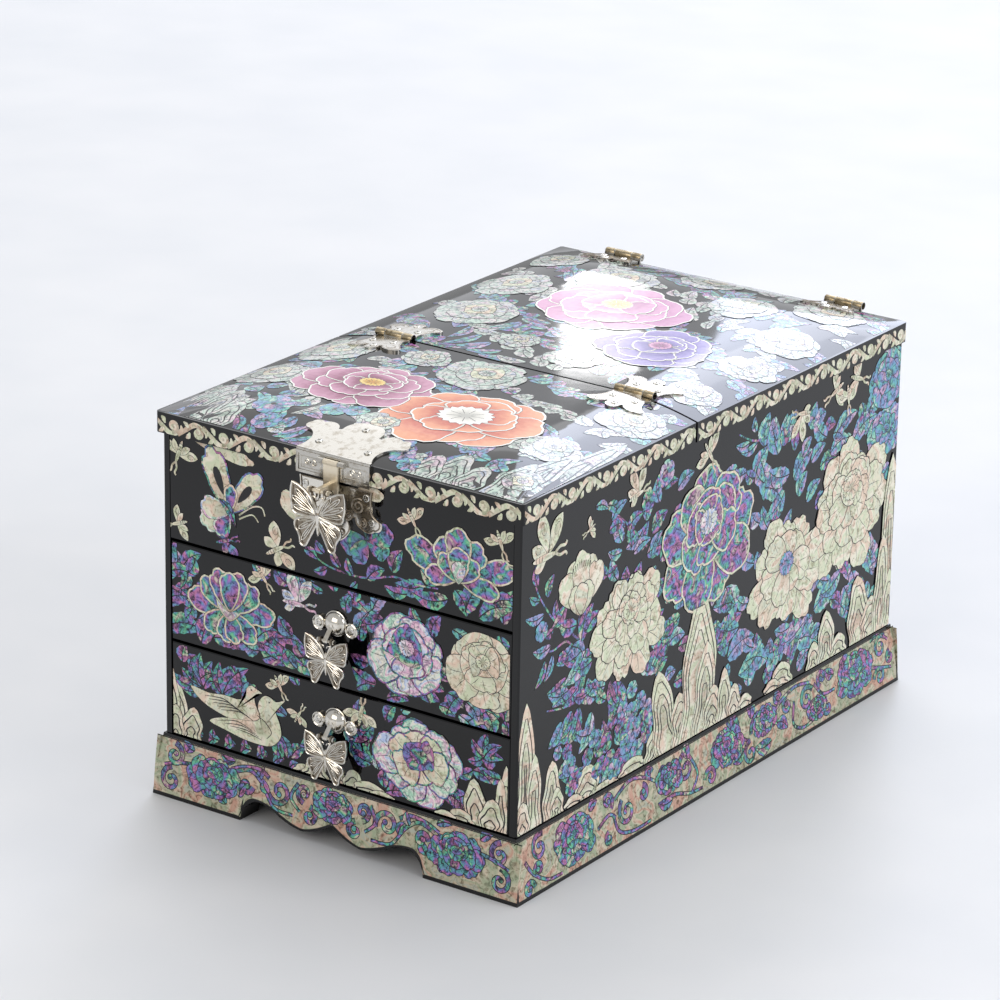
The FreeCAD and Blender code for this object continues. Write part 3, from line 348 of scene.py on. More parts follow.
def finish_case_nodes():
    """Gives each node of the frame the finish of its real piece."""
    groups = [
        (lacquer, "left_side_panel right_side_panel back_panel upper_front_panel plinth_front plinth_back "
                  "plinth_right plinth_left front_lid_panel rear_lid_panel upper_drawer_front lower_drawer_front "
                  "mirror_frame"),
        (board, "compartment_floor drawer_shelf bottom_panel upper_drawer_side_walls upper_drawer_back_wall "
                "lower_drawer_side_walls lower_drawer_back_wall"),
        (bare_board, "plinth_corner_blocks upper_drawer_bottom lower_drawer_bottom"),
        (velvet, "compartment_lining compartment_divider ring_rolls front_lid_lining upper_drawer_lining "
                 "lower_drawer_lining"),
        (mirror_glass, "lid_mirror"),
        (screw_steel, "front_lid_screws rear_lid_screws case_screws upper_drawer_pull_screws "
                      "lower_drawer_pull_screws mid_hinge_pins rear_hinge_pins hasp_pin latch_stud"),
        # The butterflies are brown patina, with painted shade in their hollows
        (tarnish_and_painted_shade, "clasp_butterfly upper_drawer_pull_butterfly lower_drawer_pull_butterfly"),
        (strap_nickel, "hasp"),
        (flat_nickel, "latch_top_plate"),
    ]
    given = {name: material for material, names in groups for name in names.split()}
    for name, node in nodes.items():
        own = flat_nickel if "hinge" in name and "leaf" in name else given.get(name, nickel)
        node.data.materials.clear()
        node.data.materials.append(own)


# Faces that carry shell work. Each gives the point over (u, v) at a height above the face. The plinth's own
# faces stay closer to the board, inside the frame's box.

PLINTH_LIFT = 0.45


def swell(distance):
    if distance >= CROWN_BORDER:
        return 1.0
    return 1.0 - (1.0 - max(distance, 0.0) / CROWN_BORDER) ** 2


def crown(x, y):
    along = swell(min(y - LID_FRONT, LID_BACK - y))
    return LID_EDGE + CROWN * swell(LID_HALF - abs(x)) * along


def flare(z):
    """How far the plinth stands out from the case at a height."""
    t = z / PLINTH
    return 4.9 - 4.2 * t + 1.6 * t * (1 - t)


def on_front(front):
    return lambda u, v, lift: place(u, front - lift, v)


def on_side(side, half):
    return lambda u, v, lift: place(side * (half + lift), u, v)


def on_lid(u, v, lift):
    return place(u, v + LID_FRONT, crown(u, v + LID_FRONT) + lift)


def on_plinth_front(u, v, lift):
    return place(u, -flare(v) - PLINTH_LIFT * lift, v)


def on_plinth_back(u, v, lift):
    return place(-u, CASE_DEPTH + flare(v) + PLINTH_LIFT * lift, v)


def on_plinth_side(side):
    return lambda u, v, lift: place(side * (CASE_HALF + flare(v) + PLINTH_LIFT * lift), u, v)


def between(values, t):
    """The value at t, from 0 to 1, along evenly spaced values."""
    t *= len(values) - 1
    k = min(int(t), max(len(values) - 2, 0))
    return values[k] + (values[min(k + 1, len(values) - 1)] - values[k]) * (t - k)


# Shell work. Thousands of thin cuts of shell can't be shaped one by one with operators, so each face's cuts
# are drawn flat in millimetres, trimmed to the face, given their edges and then laid on it.

LAYER_FOOT = 0.05            # height of the lowest cuts
LAYER_RISE = 0.09            # from one layer to the next
CUT_RISE = 0.0045            # from one cut to the next, so that none lie in one plane
SKIRT_FOOT = -0.02           # where the edges of the cuts end, below the face


class ShellWork:
    """The cuts of shell on one face of the box."""

    def __init__(self, name, body, face, limits):
        self.name = name
        self.body = body
        self.face = face
        self.limits = limits
        self.cuts = {}
        self.height = 0.0

    def start(self, layer):
        """Starts a motif. Its cuts lie in their order, one barely above the other."""
        self.height = LAYER_FOOT + LAYER_RISE * layer + 0.02 * chance.random()

    def cut(self, shell, tone=None):
        """Where the next cut's points, faces and marks go, and its tone."""
        self.height += CUT_RISE
        return (*self.cuts.setdefault(shell, ([], [], [])), chance.random() if tone is None else tone)

    def plate(self, shell, middle, rim, along=None, tone=None, rings=(0.5, 0.88)):
        """A cut of shell whose rim is seen whole from its middle."""
        points, faces, marks, tone = self.cut(shell, tone)
        first = len(points)
        ring = list(rim)
        if sum(a[0] * b[1] - b[0] * a[1] for a, b in zip(ring, ring[1:] + ring[:1])) < 0:
            ring.reverse()
        spots = [(middle, 0.0)]
        for step in rings + (1.0,):
            spots += [((middle[0] + (p[0] - middle[0]) * step, middle[1] + (p[1] - middle[1]) * step), step)
                      for p in ring]
        for (u, v), step in spots:
            points.append((u, v, self.height))
            marks.append((tone, along(u, v) if along else step, (tone * 7.3) % 1.0, 1.0))
        count = len(ring)
        for i in range(count):
            j = (i + 1) % count
            faces.append((first, first + 1 + i, first + 1 + j))
            for k in range(len(rings)):
                a = first + 1 + k * count
                faces.append((a + i, a + count + i, a + count + j, a + j))

    def lined(self, shell, middle, rim, line, **how):
        """A cut with a filled line round it."""
        self.plate("ink", middle, drawn_in(rim, middle, -line), rings=())
        self.plate(shell, middle, rim, **how)

    def dot(self, x, y, radius):
        rim = [(x + radius * math.cos(k), y + radius * math.sin(k)) for k in range(6)]
        self.plate("ink", (x, y), rim, rings=())

    def strip(self, shell, path, widths):
        """A strip of shell, or a filled line, along a path. Widths run from its start to its end."""
        points, faces, marks, tone = self.cut(shell)
        first = len(points)
        last = len(path) - 1
        for i, (u, v) in enumerate(path):
            a, b = path[max(i - 1, 0)], path[min(i + 1, last)]
            du, dv = b[0] - a[0], b[1] - a[1]
            length = math.hypot(du, dv) or 1.0
            half = 0.5 * between(widths, i / last)
            for side in (1, -1):
                points.append((u - side * dv / length * half, v + side * du / length * half, self.height))
                marks.append((tone, i / last, (tone * 7.3) % 1.0, 1.0))
        for i in range(last):
            a = first + 2 * i
            faces.append((a, a + 1, a + 3, a + 2))

    def lay(self):
        """Makes the pieces of this face, one for each kind of shell."""
        u0, u1, v0, v1 = self.limits
        edges = [((u0, 0, 0), (-1, 0, 0)), ((u1, 0, 0), (1, 0, 0)), ((0, v0, 0), (0, -1, 0)), ((0, v1, 0), (0, 1, 0))]
        for shell, (points, faces, marks) in self.cuts.items():
            work = bmesh.new()
            layer = work.verts.layers.float_color.new("grain")
            verts = [work.verts.new(p) for p in points]
            for vert, mark in zip(verts, marks):
                vert[layer] = mark
            for corners in faces:
                work.faces.new([verts[i] for i in corners])
            for at, normal in edges:
                everything = work.verts[:] + work.edges[:] + work.faces[:]
                bmesh.ops.bisect_plane(work, geom=everything, plane_co=at, plane_no=normal, clear_outer=True)
            rim = [edge for edge in work.edges if edge.is_boundary]
            skirt = bmesh.ops.extrude_edge_only(work, edges=rim)
            for item in skirt["geom"]:
                if isinstance(item, bmesh.types.BMVert):
                    item.co.z = SKIRT_FOOT
            for vert in work.verts:
                vert.co = self.face(*vert.co)
            bmesh.ops.recalc_face_normals(work, faces=work.faces)
            name = "%s_%s" % (self.name, shell)
            mesh = bpy.data.meshes.new(name)
            work.to_mesh(mesh)
            work.free()
            mesh.materials.append(SHELLS[shell])
            piece = show(bpy.data.objects.new(name, mesh))
            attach(piece, self.body)


def curve(points, closed=False, steps=5):
    """A smooth line through points."""
    count = len(points)
    spans = count if closed else count - 1
    found = []
    for i in range(spans):
        p = [points[(i + k) % count] if closed else points[min(max(i + k, 0), count - 1)] for k in (-1, 0, 1, 2)]
        for s in range(steps):
            t = s / steps
            found.append(tuple(
                0.5 * (2 * b + (c - a) * t + (2 * a - 5 * b + 4 * c - d) * t * t + (3 * b - a - 3 * c + d) * t ** 3)
                for a, b, c, d in zip(*p)))
    if not closed:
        found.append(points[-1])
    return found


def turned(points, x, y, angle, size=1.0):
    c = math.cos(math.radians(angle)) * size
    s = math.sin(math.radians(angle)) * size
    return [(x + u * c - v * s, y + u * s + v * c) for u, v in points]


def centre(points):
    return (sum(p[0] for p in points) / len(points), sum(p[1] for p in points) / len(points))


def drawn_in(points, middle, by):
    """The rim moved towards its middle by a width."""
    found = []
    for u, v in points:
        reach = math.hypot(u - middle[0], v - middle[1]) or 1.0
        k = max(reach - by, 0.1) / reach
        found.append((middle[0] + (u - middle[0]) * k, middle[1] + (v - middle[1]) * k))
    return found


def spiral(x, y, radius, start, sweep, steps, drawn, power=1.0):
    """A curl from its outer end. drawn is how much of its radius it loses."""
    path = []
    for i in range(steps + 1):
        t = i / steps
        a = math.radians(start + sweep * t)
        r = radius * (1 - drawn * t ** power)
        path.append((x + r * math.cos(a), y + r * math.sin(a)))
    return path


def leaf(work, shell, x, y, length, width, angle):
    """A leaf in two halves from its stalk, with a dark midrib and side ribs."""
    work.height += 0.003 * chance.random()
    mid, rims = [], ([], [])
    for i in range(11):
        t = i / 10
        spine = 0.12 * length * math.sin(math.pi * t)
        half = 0.5 * width * math.sin(math.pi * t ** 0.8) ** 0.85
        half *= 1.0 + 0.1 * (i % 2)
        mid.append((length * t, spine))
        rims[0].append((length * t, spine + half))
        rims[1].append((length * t - 0.02 * length, spine - half))
    whole = turned(rims[0] + rims[1][-2:0:-1], x, y, angle)
    work.plate("ink", turned([mid[5]], x, y, angle)[0], drawn_in(whole, centre(whole), -0.42), rings=())
    for rim in rims:
        shape = turned(mid + rim[-2:0:-1], x, y, angle)
        work.plate(shell, centre(shape), shape, rings=(0.6,))
    work.strip("ink", turned(mid, x, y, angle), (0.75, 0.3))
    if length > 9:
        for i in (3, 5, 7):
            for rim in rims:
                rib = [mid[i], (rim[i + 1][0], 0.7 * rim[i + 1][1] + 0.3 * mid[i][1])]
                work.strip("ink", turned(rib, x, y, angle), (0.3, 0.15))


def leaves(work, shell, rows):
    for row in rows:
        work.start(0)
        leaf(work, shell, *row)


def strew(work, shells, count, region, lengths, seed, clear=(), widths=None):
    """Fills the ground between the motifs with small leaves. They keep out of the clear circles."""
    x0, x1, y0, y1 = region
    for k in range(count):
        x = x0 + (x1 - x0) * ((seed + k * 0.6180339) % 1.0)
        y = y0 + (y1 - y0) * ((seed + k * 0.7548776) % 1.0)
        if all(math.hypot(x - cx, y - cy) > reach for cx, cy, reach in clear):
            work.start(0)
            length = chance.uniform(*lengths)
            width = chance.uniform(*widths) if widths else chance.uniform(0.4, 0.55) * lengths[1]
            leaf(work, shells[k % len(shells)], x, y, length, width, 360 * ((seed + k * 0.381966) % 1.0))


def petal_rim(x, y, length, width, angle, lobes, count=30):
    """A petal from its foot: it spreads towards an end that is notched into lobes."""
    rim = []
    deep = chance.uniform(0.1, 0.2)
    askew = chance.uniform(-0.2, 0.2)
    for i in range(count):
        a = 2 * math.pi * i / count
        u, v = math.cos(a), math.sin(a)
        k = 1.0
        if u > -0.1 and lobes:
            k -= deep * (1 - abs(math.cos(lobes * (a + askew)))) ** 2
        broad = 0.34 + 0.66 * (0.5 + 0.5 * u) ** 0.7
        rim.append((length * (0.5 + 0.5 * u * k), 0.5 * width * v * broad * k * 1.2))
    return turned(rim, x, y, angle)


def wing_rim(x, y, length, width, angle, count=20):
    """An insect's wing from its root: slim at first, and full towards its round end."""
    rim = []
    for i in range(count):
        t = 2 * i / count
        u = t if t <= 1 else 2 - t
        v = math.sin(math.pi * u ** 1.5) ** 0.8 if t <= 1 else -0.75 * math.sin(math.pi * u ** 1.15) ** 0.8
        rim.append((length * (0.04 + 0.96 * u), 0.5 * width * v))
    return turned(rim, x, y, angle)


def petal(work, rim_shell, shell, x, y, length, width, angle, lobes=3, edge=0.35, count=26):
    """One petal: a rim of one shell, with a field of another inside it."""
    rim = petal_rim(x, y, length, width, angle, lobes, count)
    c, s = math.cos(math.radians(angle)), math.sin(math.radians(angle))

    def along(u, v):
        return ((u - x) * c + (v - y) * s) / length
    middle = turned([(0.56 * length, 0)], x, y, angle)[0]
    tone = chance.random()
    if rim_shell != "ink":
        work.plate("ink", middle, drawn_in(rim, middle, -0.25), rings=())
    work.plate(rim_shell, middle, rim, along, tone, rings=())
    work.plate(shell, middle, drawn_in(rim, middle, edge), along, tone)


def petals(work, rim_shell, shell, x, y, edge, rows):
    """Petals that spread from one foot."""
    for angle, length, width in rows:
        petal(work, rim_shell, shell, x, y, length, width, angle, edge=edge)


def peony(work, rim_shell, shells, x, y, radius, squash, turn, rings, edge, centre_shell, lobes=3, veins=True,
          broad=2.5, uneven=0.1, core_size=0.17):
    """An open peony: rings of lobed petals, drawn off to one side, round a toothed centre."""
    for ring, (count, reach) in enumerate(rings):
        shell = shells[min(ring, len(shells) - 1)]
        foot = y + 0.1 * radius * ring * squash
        order = list(range(count))
        chance.shuffle(order)
        for i in order:
            a = turn + 360 * (i + 0.5 * ring) / count + chance.uniform(-7, 7)
            c, s = math.cos(math.radians(a)), squash * math.sin(math.radians(a))
            stretch = math.hypot(c, s)
            size = radius * reach * stretch * chance.uniform(0.97 - uneven, 0.97 + uneven)
            angle = math.degrees(math.atan2(s, c))
            width = broad * radius * reach * math.sin(math.pi / count) * chance.uniform(0.9, 1.12) * (0.5 + 0.5 * squash)
            petal(work, rim_shell, shell, x, foot, size, width, angle, lobes, edge)
            if veins:
                for k in (-0.14, 0.1):
                    path = [(0.52 * size, k * width * 0.5), (0.7 * size, k * width), (0.86 * size, k * 1.6 * width)]
                    work.strip("ink", turned(path, x, foot, angle), (0.15, 0.32, 0.1))
    y = y + 0.1 * radius * (len(rings) - 1) * squash
    core = []
    for i in range(36):
        a = 2 * math.pi * i / 36
        r = radius * core_size * (1.0 + 0.16 * (i % 2))
        core.append((x + r * math.cos(a), y + squash * r * math.sin(a)))
    work.lined(centre_shell, (x, y), core, 0.35)
    for i in range(9):
        a = math.radians(40 * i + turn)
        reach = 0.76 * core_size * radius
        tip = (x + reach * math.cos(a), y + squash * reach * math.sin(a))
        work.strip("ink", [(x + 0.3 * (tip[0] - x), y + 0.3 * (tip[1] - y)), tip], (0.2, 0.35))


def blossom(work, shell, x, y, radius):
    """A small flower of six petals with a dark eye."""
    work.start(1)
    turn = 360 * chance.random()
    for i in range(6):
        petal(work, "ink", shell, x, y, radius, 1.35 * radius * math.sin(math.pi / 6) * 1.5, turn + 60 * i, 0, 0.15, 12)
    work.dot(x, y, 0.14 * radius)


def insect(work, shell, x, y, size, angle, wings):
    """A bee or a butterfly: wings from a slim ringed body, and two feelers."""
    for spread, length, width in wings:
        rim = wing_rim(x, y, size * length, size * width, angle + spread)
        middle = turned([(0.6 * size * length, 0.05 * size * width)], x, y, angle + spread)[0]
        work.lined(shell, middle, rim, 0.25, tone=chance.random())
        if length > 0.4 and size > 15:
            ring = [(size * length * (0.64 + 0.15 * math.cos(k / 9 * 5.6)), size * width * 0.2 * math.sin(k / 9 * 5.6))
                    for k in range(10)]
            work.strip("ink", turned(ring, x, y, angle + spread), (0.32, 0.18))
    rim = [(-0.62 * 0.44 * size * math.cos(k / 7 * math.pi) - 0.08 * size, 0.05 * size * math.sin(k / 7 * math.pi))
           for k in range(8)]
    rim = turned(rim + [(u, -v) for u, v in rim[-2:0:-1]], x, y, angle)
    work.lined(shell, (x, y), rim, 0.25, rings=())
    for k in range(3):
        u = -0.12 * size - 0.07 * size * k
        ring = [(u, -0.05 * size), (u - 0.015 * size, 0), (u, 0.05 * size)]
        work.strip("ink", turned(ring, x, y, angle), (0.25, 0.35, 0.25))
    for side in (-1, 1):
        path = [(0.16 * size, 0), (0.28 * size, side * 0.06 * size), (0.4 * size, side * 0.05 * size),
                (0.44 * size, side * 0.1 * size)]
        work.strip(shell, turned(curve(path, steps=4), x, y, angle), (0.04 * size, 0.045 * size, 0.03 * size))


def insects(work, shell, layer, rows):
    for row in rows:
        work.start(layer)
        insect(work, shell, *row)


# Wings of an insect: the way each one spreads, its length and its width
BEE = [(112, 0.52, 0.24), (-112, 0.5, 0.24), (142, 0.38, 0.17), (-142, 0.36, 0.16)]
BUTTERFLY = [(122, 0.4, 0.26), (-122, 0.38, 0.25), (70, 0.6, 0.34), (-70, 0.56, 0.32)]
SIDE_VIEW = [(150, 0.42, 0.24), (104, 0.66, 0.3), (58, 0.62, 0.28), (-155, 0.34, 0.18)]


def rocks(work, foot, shell, columns):
    """Upright rocks with wavy flanks, one behind the other, each with dark contour lines inside."""
    work.start(0)
    for x, half, top, lean in columns:
        tall = top - foot
        flank = []
        for i in range(15):
            t = i / 14
            wave = 1.0 + 0.15 * math.sin(3.4 * math.pi * t + x) * (1 - 0.6 * t)
            flank.append((half * 1.3 * (1 - t ** 2.4) ** 0.6 * wave, tall * t))
        rim = [(x + lean * v + w, foot + v) for w, v in flank]
        rim += [(x + lean * v - w * 0.94, foot + v) for w, v in reversed(flank[:-1])]
        work.lined(shell, (x + lean * 0.4 * tall, foot + 0.4 * tall), rim, 0.45)
        for inset in (1.9, 4.3, 6.6):
            inner = [(w - inset, v * (1 - 1.9 * inset / tall)) for w, v in flank if w > inset + 0.4]
            if len(inner) > 5:
                path = [(x + lean * v + w, foot + v) for w, v in inner]
                path += [(x + lean * v - w, foot + v) for w, v in reversed(inner)]
                work.strip("ink", path, (0.35, 0.85, 0.6, 0.85, 0.35))


def scroll(work, shell, path, widths, outline=0.0):
    """A stem that curls in on itself and ends in a bud."""
    if outline:
        work.strip("ink", path, [w + 2 * outline for w in widths])
    work.strip(shell, path, widths)
    bud = path[-1]
    size = widths[-1] * 0.8
    rim = [(bud[0] + size * math.cos(i * math.pi / 5), bud[1] + size * math.sin(i * math.pi / 5)) for i in range(10)]
    if outline:
        work.lined(shell, bud, rim, outline, rings=())
    else:
        work.plate(shell, bud, rim, rings=())


def vine_band(work):
    """A running vine round the lid's edge: a waving stem with a thick curl and small leaves in each bend."""
    start, end = work.limits[:2]
    low, high = 194.0, 202.4
    middle, rise = 0.5 * (low + high), 0.5 * (high - low)
    count = max(2, round((end - start) / 15.0))
    pitch = (end - start) / count
    for i in range(count):
        u = start + (i + 0.5) * pitch
        side = 1 if i % 2 else -1
        work.start(0)

        def bend(*knots):
            return curve([(u + a * pitch, middle + side * b * rise) for a, b in knots])
        work.strip("cream", bend((-0.62, -0.8), (-0.34, 0.1), (-0.02, 0.84), (0.3, 0.78)), (1.2, 2.6, 2.8, 1.1))
        path = spiral(u + 0.12 * pitch, middle - side * 0.1 * rise, 0.8 * rise, 100 * side, -side * 400, 18, 0.78, 0.8)
        scroll(work, "cream", path, (2.5, 2.1, 2.3))
        work.strip("cream", bend((0.3, 0.8), (0.46, 0.2), (0.44, -0.4)), (2.8, 2.4, 0.6))
        work.strip("cream", bend((-0.46, 0.95), (-0.34, 0.7), (-0.26, 0.35)), (0.5, 2.3, 1.2))
        work.strip("cream", bend((-0.36, -0.98), (-0.26, -0.72), (-0.2, -0.2)), (0.6, 2.7, 0.7))


# Motifs of each face. Leaves are x, y, length, width and angle; petals are angle, length and width; insects
# are x, y, size, angle and wings; rocks are x, half width, top and lean.

def draw_upper_front(work):
    leaves(work, "abalone", [
        (-20, 152, 9, 5, -25), (-8, 152, 8, 5, 130), (2, 147, 11, 4.5, 120), (-6, 145, 9, 4.5, 200),
        (9, 145, 9, 4.5, 110), (12, 142, 6, 3.5, 220), (18, 145, 13, 7, 35), (33, 152, 14, 8, 65),
        (52, 150, 18, 9, 190), (42, 143, 14, 6, 175), (66, 146, 22, 9, 183), (60, 152, 12, 6, 150),
        (76, 142, 20, 10, 55), (84, 141, 22, 10, 25), (98, 141, 20, 9, 70), (92, 150, 14, 8, 15),
        (70, 152, 14, 9, -60)])
    work.start(0)
    work.strip("abalone", curve([(-22, 155), (-8, 147), (8, 145), (20, 146), (34, 150), (46, 149), (60, 150)]),
               (0.8, 1.1, 0.8))
    work.start(1)
    petals(work, "ink", "abalone", 18, 165, 0.2, [
        (200, 17, 14), (240, 15, 12), (-20, 14, 13), (25, 17, 13), (70, 14, 12)])
    work.start(1)
    petals(work, "cream", "abalone", 72, 158, 1.1, [
        (158, 34, 17), (20, 36, 14), (184, 20, 12), (-8, 24, 12), (122, 22, 16), (58, 24, 17), (92, 26, 17)])
    work.start(2)
    petals(work, "cream", "abalone", 72, 156, 1.0, [(130, 17, 12), (50, 17, 12), (90, 18, 14)])
    petal(work, "ink", "pale", 72, 155, 12, 9, 90, 3, 0.3)
    insects(work, "cream", 1, [
        (-98, 183, 24, 250, BEE), (-99, 147, 20, 200, BEE), (45, 181, 19, -60, BEE), (96, 181, 20, -70, BEE),
        (-36, 148, 24, 30, BUTTERFLY)])
    insects(work, "abalone", 1, [(-68, 145, 19, 20, BUTTERFLY)])
    work.start(1)
    for angle, length, width, rim, shell in [
            (205, 20, 15, "pale", "cream"), (240, 15, 11, "pale", "abalone"), (112, 35, 17, "abalone", "cream"),
            (50, 31, 15, "abalone", "cream"), (178, 18, 13, "pale", "cream"), (85, 15, 9, "cream", "abalone")]:
        petals(work, rim, shell, -66, 160, 1.1, [(angle, length, width)])
    for angle, length in ((112, 27), (50, 24)):
        rim = turned(petal_rim(0.34 * length, 0, 0.55 * length, 0.19 * length, 0, 0, 14), -66, 160, angle)
        work.plate("ink", centre(rim), rim, rings=())
    leaf(work, "abalone", -72, 166, 16, 4, -52)
    work.start(1)
    work.strip("cream", curve([(-60, 160), (-52, 166), (-46, 167), (-44, 163)]), (0.9, 0.6))
    work.strip("cream", curve([(-60, 158), (-52, 162), (-48, 159)]), (0.9, 0.5))
    work.start(0)
    petal(work, "ink", "cream", -88, 193, 38, 8, -7, 3, 0.3)
    petal(work, "ink", "cream", -20, 164, 20, 14, 130, 3, 0.3)
    petal(work, "ink", "cream", 10, 189, 18, 8, 0, 3, 0.3)


def draw_upper_drawer(work):
    strew(work, ["abalone", "abalone", "sea"], 64, (-104, 103, 86, 136), (9, 15), 0.37, [(-8, 118, 13), (-97, 106, 6)])
    leaves(work, "abalone", [
        (-104, 128, 12, 8, 70), (-96, 124, 16, 8, 40), (-107, 119, 20, 7, 8), (-104, 112, 18, 8, -30),
        (-107, 104, 16, 10, 20), (-108, 90, 26, 11, 8), (-84, 87, 18, 11, 60), (-76, 92, 14, 8, -10),
        (-66, 90, 30, 9, 8), (-46, 88, 26, 10, 6), (-36, 101, 16, 6, 0), (-50, 97, 16, 7, 30), (-26, 90, 15, 8, -12),
        (-8, 132, 10, 4, 160), (4, 133, 16, 7, -20), (18, 122, 16, 8, 55), (28, 127, 16, 9, 200),
        (14, 112, 14, 8, 75), (20, 102, 12, 7, 170), (24, 92, 16, 8, 160), (12, 87, 12, 6, 20), (56, 124, 14, 8, 65),
        (50, 128, 12, 6, 120), (66, 87, 18, 9, 50), (78, 86, 20, 8, 20), (90, 87, 18, 9, 60), (100, 92, 14, 8, 80),
        (56, 90, 14, 8, 100), (30, 86, 14, 6, 10), (98, 86, 10, 6, 0)])
    work.start(1)
    petals(work, "cream", "abalone", -66, 108, 1.0, [
        (172, 27, 15), (8, 29, 14), (218, 20, 13), (-38, 21, 13), (262, 17, 15), (-75, 17, 13), (140, 23, 15),
        (42, 24, 15), (112, 23, 15), (72, 23, 15), (90, 21, 14)])
    work.start(2)
    petal(work, "cream", "pale", -66, 103, 15, 18, 90, 5, 0.8)
    for k in range(6):
        work.strip("ink", [(-72.5 + 2.6 * k, 113), (-71.2 + 2.6 * k, 116.2), (-69.9 + 2.6 * k, 113)], (0.4, 0.4))
    work.start(1)
    peony(work, "abalone", ["pale", "pale", "abalone"], 42, 111, 25, 0.88, 20, ((8, 1.0), (5, 0.62), (3, 0.4)), 0.8,
          "pale")
    work.start(1)
    peony(work, "ink", ["cream"], 87, 115, 22, 0.95, 8, ((7, 1.0), (5, 0.68), (4, 0.42)), 0.35, "cream")
    insects(work, "cream", 1, [(-45, 131, 20, -50, BEE)])
    insects(work, "pale", 1, [(-24, 122, 26, 0, SIDE_VIEW)])


def draw_ducks(work):
    """Two ducks side by side: outlines, wings, and rows of feather lines."""
    rear = [(-52.5, 72), (-50, 71), (-46, 69.4), (-49.6, 68.2), (-50.8, 65), (-49, 60), (-46, 54), (-56, 50),
            (-72, 52), (-84, 56), (-91, 62.5), (-80, 61.4), (-70, 62.6), (-62, 62.4), (-57, 64), (-55.8, 67),
            (-55.4, 70)]
    front = [(-41, 68.6), (-37, 67), (-32, 69), (-35.4, 64.6), (-37.4, 61.4), (-35, 56), (-34, 50), (-37, 45),
             (-43, 42), (-56, 42), (-68, 44), (-79, 46.4), (-72, 50), (-60, 52), (-50, 53.6), (-47, 57), (-48.4, 61),
             (-47.6, 65), (-44.6, 68.4)]
    for layer, outline, middle in ((1, rear, (-62, 57)), (2, front, (-46, 50))):
        work.start(layer)
        work.lined("cream", middle, curve(outline, closed=True, steps=3), 0.35)
    for k in range(5):
        u = -82 + 2.6 * k
        path = [(u, 59.5 - 1.3 * k), (u + 12, 60.4 - 1.1 * k), (u + 20, 57 - 0.9 * k)]
        work.strip("ink", curve(path, steps=4), (0.2, 0.5, 0.2))
    for k in range(4):
        path = [(-74 + 4 * k, 48 - 0.5 * k), (-62 + 3 * k, 50.6 - 1.6 * k), (-52 + 2 * k, 48 - 1.2 * k)]
        work.strip("ink", curve(path, steps=4), (0.2, 0.5, 0.2))
    work.strip("ink", curve([(-49, 57), (-44, 54.6), (-40, 50), (-43, 46)], steps=4), (0.25, 0.55, 0.25))
    work.dot(-52.6, 69.6, 0.5)
    work.dot(-41.4, 65.8, 0.5)


def draw_lower_drawer(work):
    strew(work, ["abalone", "abalone", "sea"], 26, (12, 103, 36, 82), (8, 14), 0.21, [(88, 78, 8)])
    strew(work, ["abalone"], 14, (-100, -20, 58, 81), (8, 13), 0.63, [(-40, 70, 9)])
    for x, y, spray in [
            (-83, 63, [(170, 22, 7), (150, 16, 7), (118, 18, 7), (95, 19, 7), (70, 17, 7), (195, 14, 6), (50, 12, 6)]),
            (-71, 62, [(120, 15, 6), (95, 18, 7), (70, 19, 7), (48, 25, 8), (30, 14, 6)]),
            (88, 70, [(130, 11, 5), (80, 14, 6), (40, 14, 5), (10, 12, 5), (200, 10, 5)])]:
        leaves(work, "abalone", [(x, y, length, width, angle) for angle, length, width in spray])
    leaves(work, "abalone", [
        (30, 74, 12, 7, 60), (36, 74, 10, 6, 20), (82, 62, 12, 6, 200), (82, 62, 12, 7, -20), (68, 46, 14, 9, -40),
        (78, 48, 16, 9, 190), (70, 38, 12, 7, 10), (16, 70, 12, 8, 100), (17, 60, 12, 8, 60), (20, 62, 11, 7, 200),
        (16, 54, 12, 9, 80), (22, 50, 14, 8, 160), (30, 37, 16, 6, 5), (-34, 50, 12, 6, -70), (-28, 40, 12, 7, 40),
        (-34, 38, 12, 7, 100), (-22, 47, 12, 6, 20)])
    leaves(work, "abalone", [(-90 + 3.4 * k, 34.2 + 1.5 * (k % 3), 7, 4.2, 30 + 65 * (k % 3)) for k in range(19)])
    rocks(work, 33, "cream", [
        (-99, 5, 63, -0.02), (-104.5, 5, 72, 0.0), (-92, 5.5, 51, 0.16), (-101, 4, 50, 0.02), (-20, 5, 38.5, 0),
        (-13, 6, 42, 0), (2, 5, 40, 0), (10.5, 5, 43.4, 0), (20, 8, 39.6, 0), (28, 6, 36.5, 0), (101.5, 3.2, 69.5, 0),
        (98.5, 3.2, 62, 0.0), (84, 5.5, 58, -0.05), (92, 5.5, 50, 0.12), (75, 6, 40, 0), (66, 5, 37, 0)])
    draw_ducks(work)
    work.start(1)
    peony(work, "abalone", ["pale", "cream", "abalone"], 50, 57, 27, 0.8, 12, ((9, 1.0), (6, 0.66), (4, 0.36)), 0.7,
          "abalone")
    insects(work, "cream", 1, [(-35, 76, 18, -60, BEE), (15, 75, 22, 80, BEE), (-23, 64, 15, 60, BEE)])


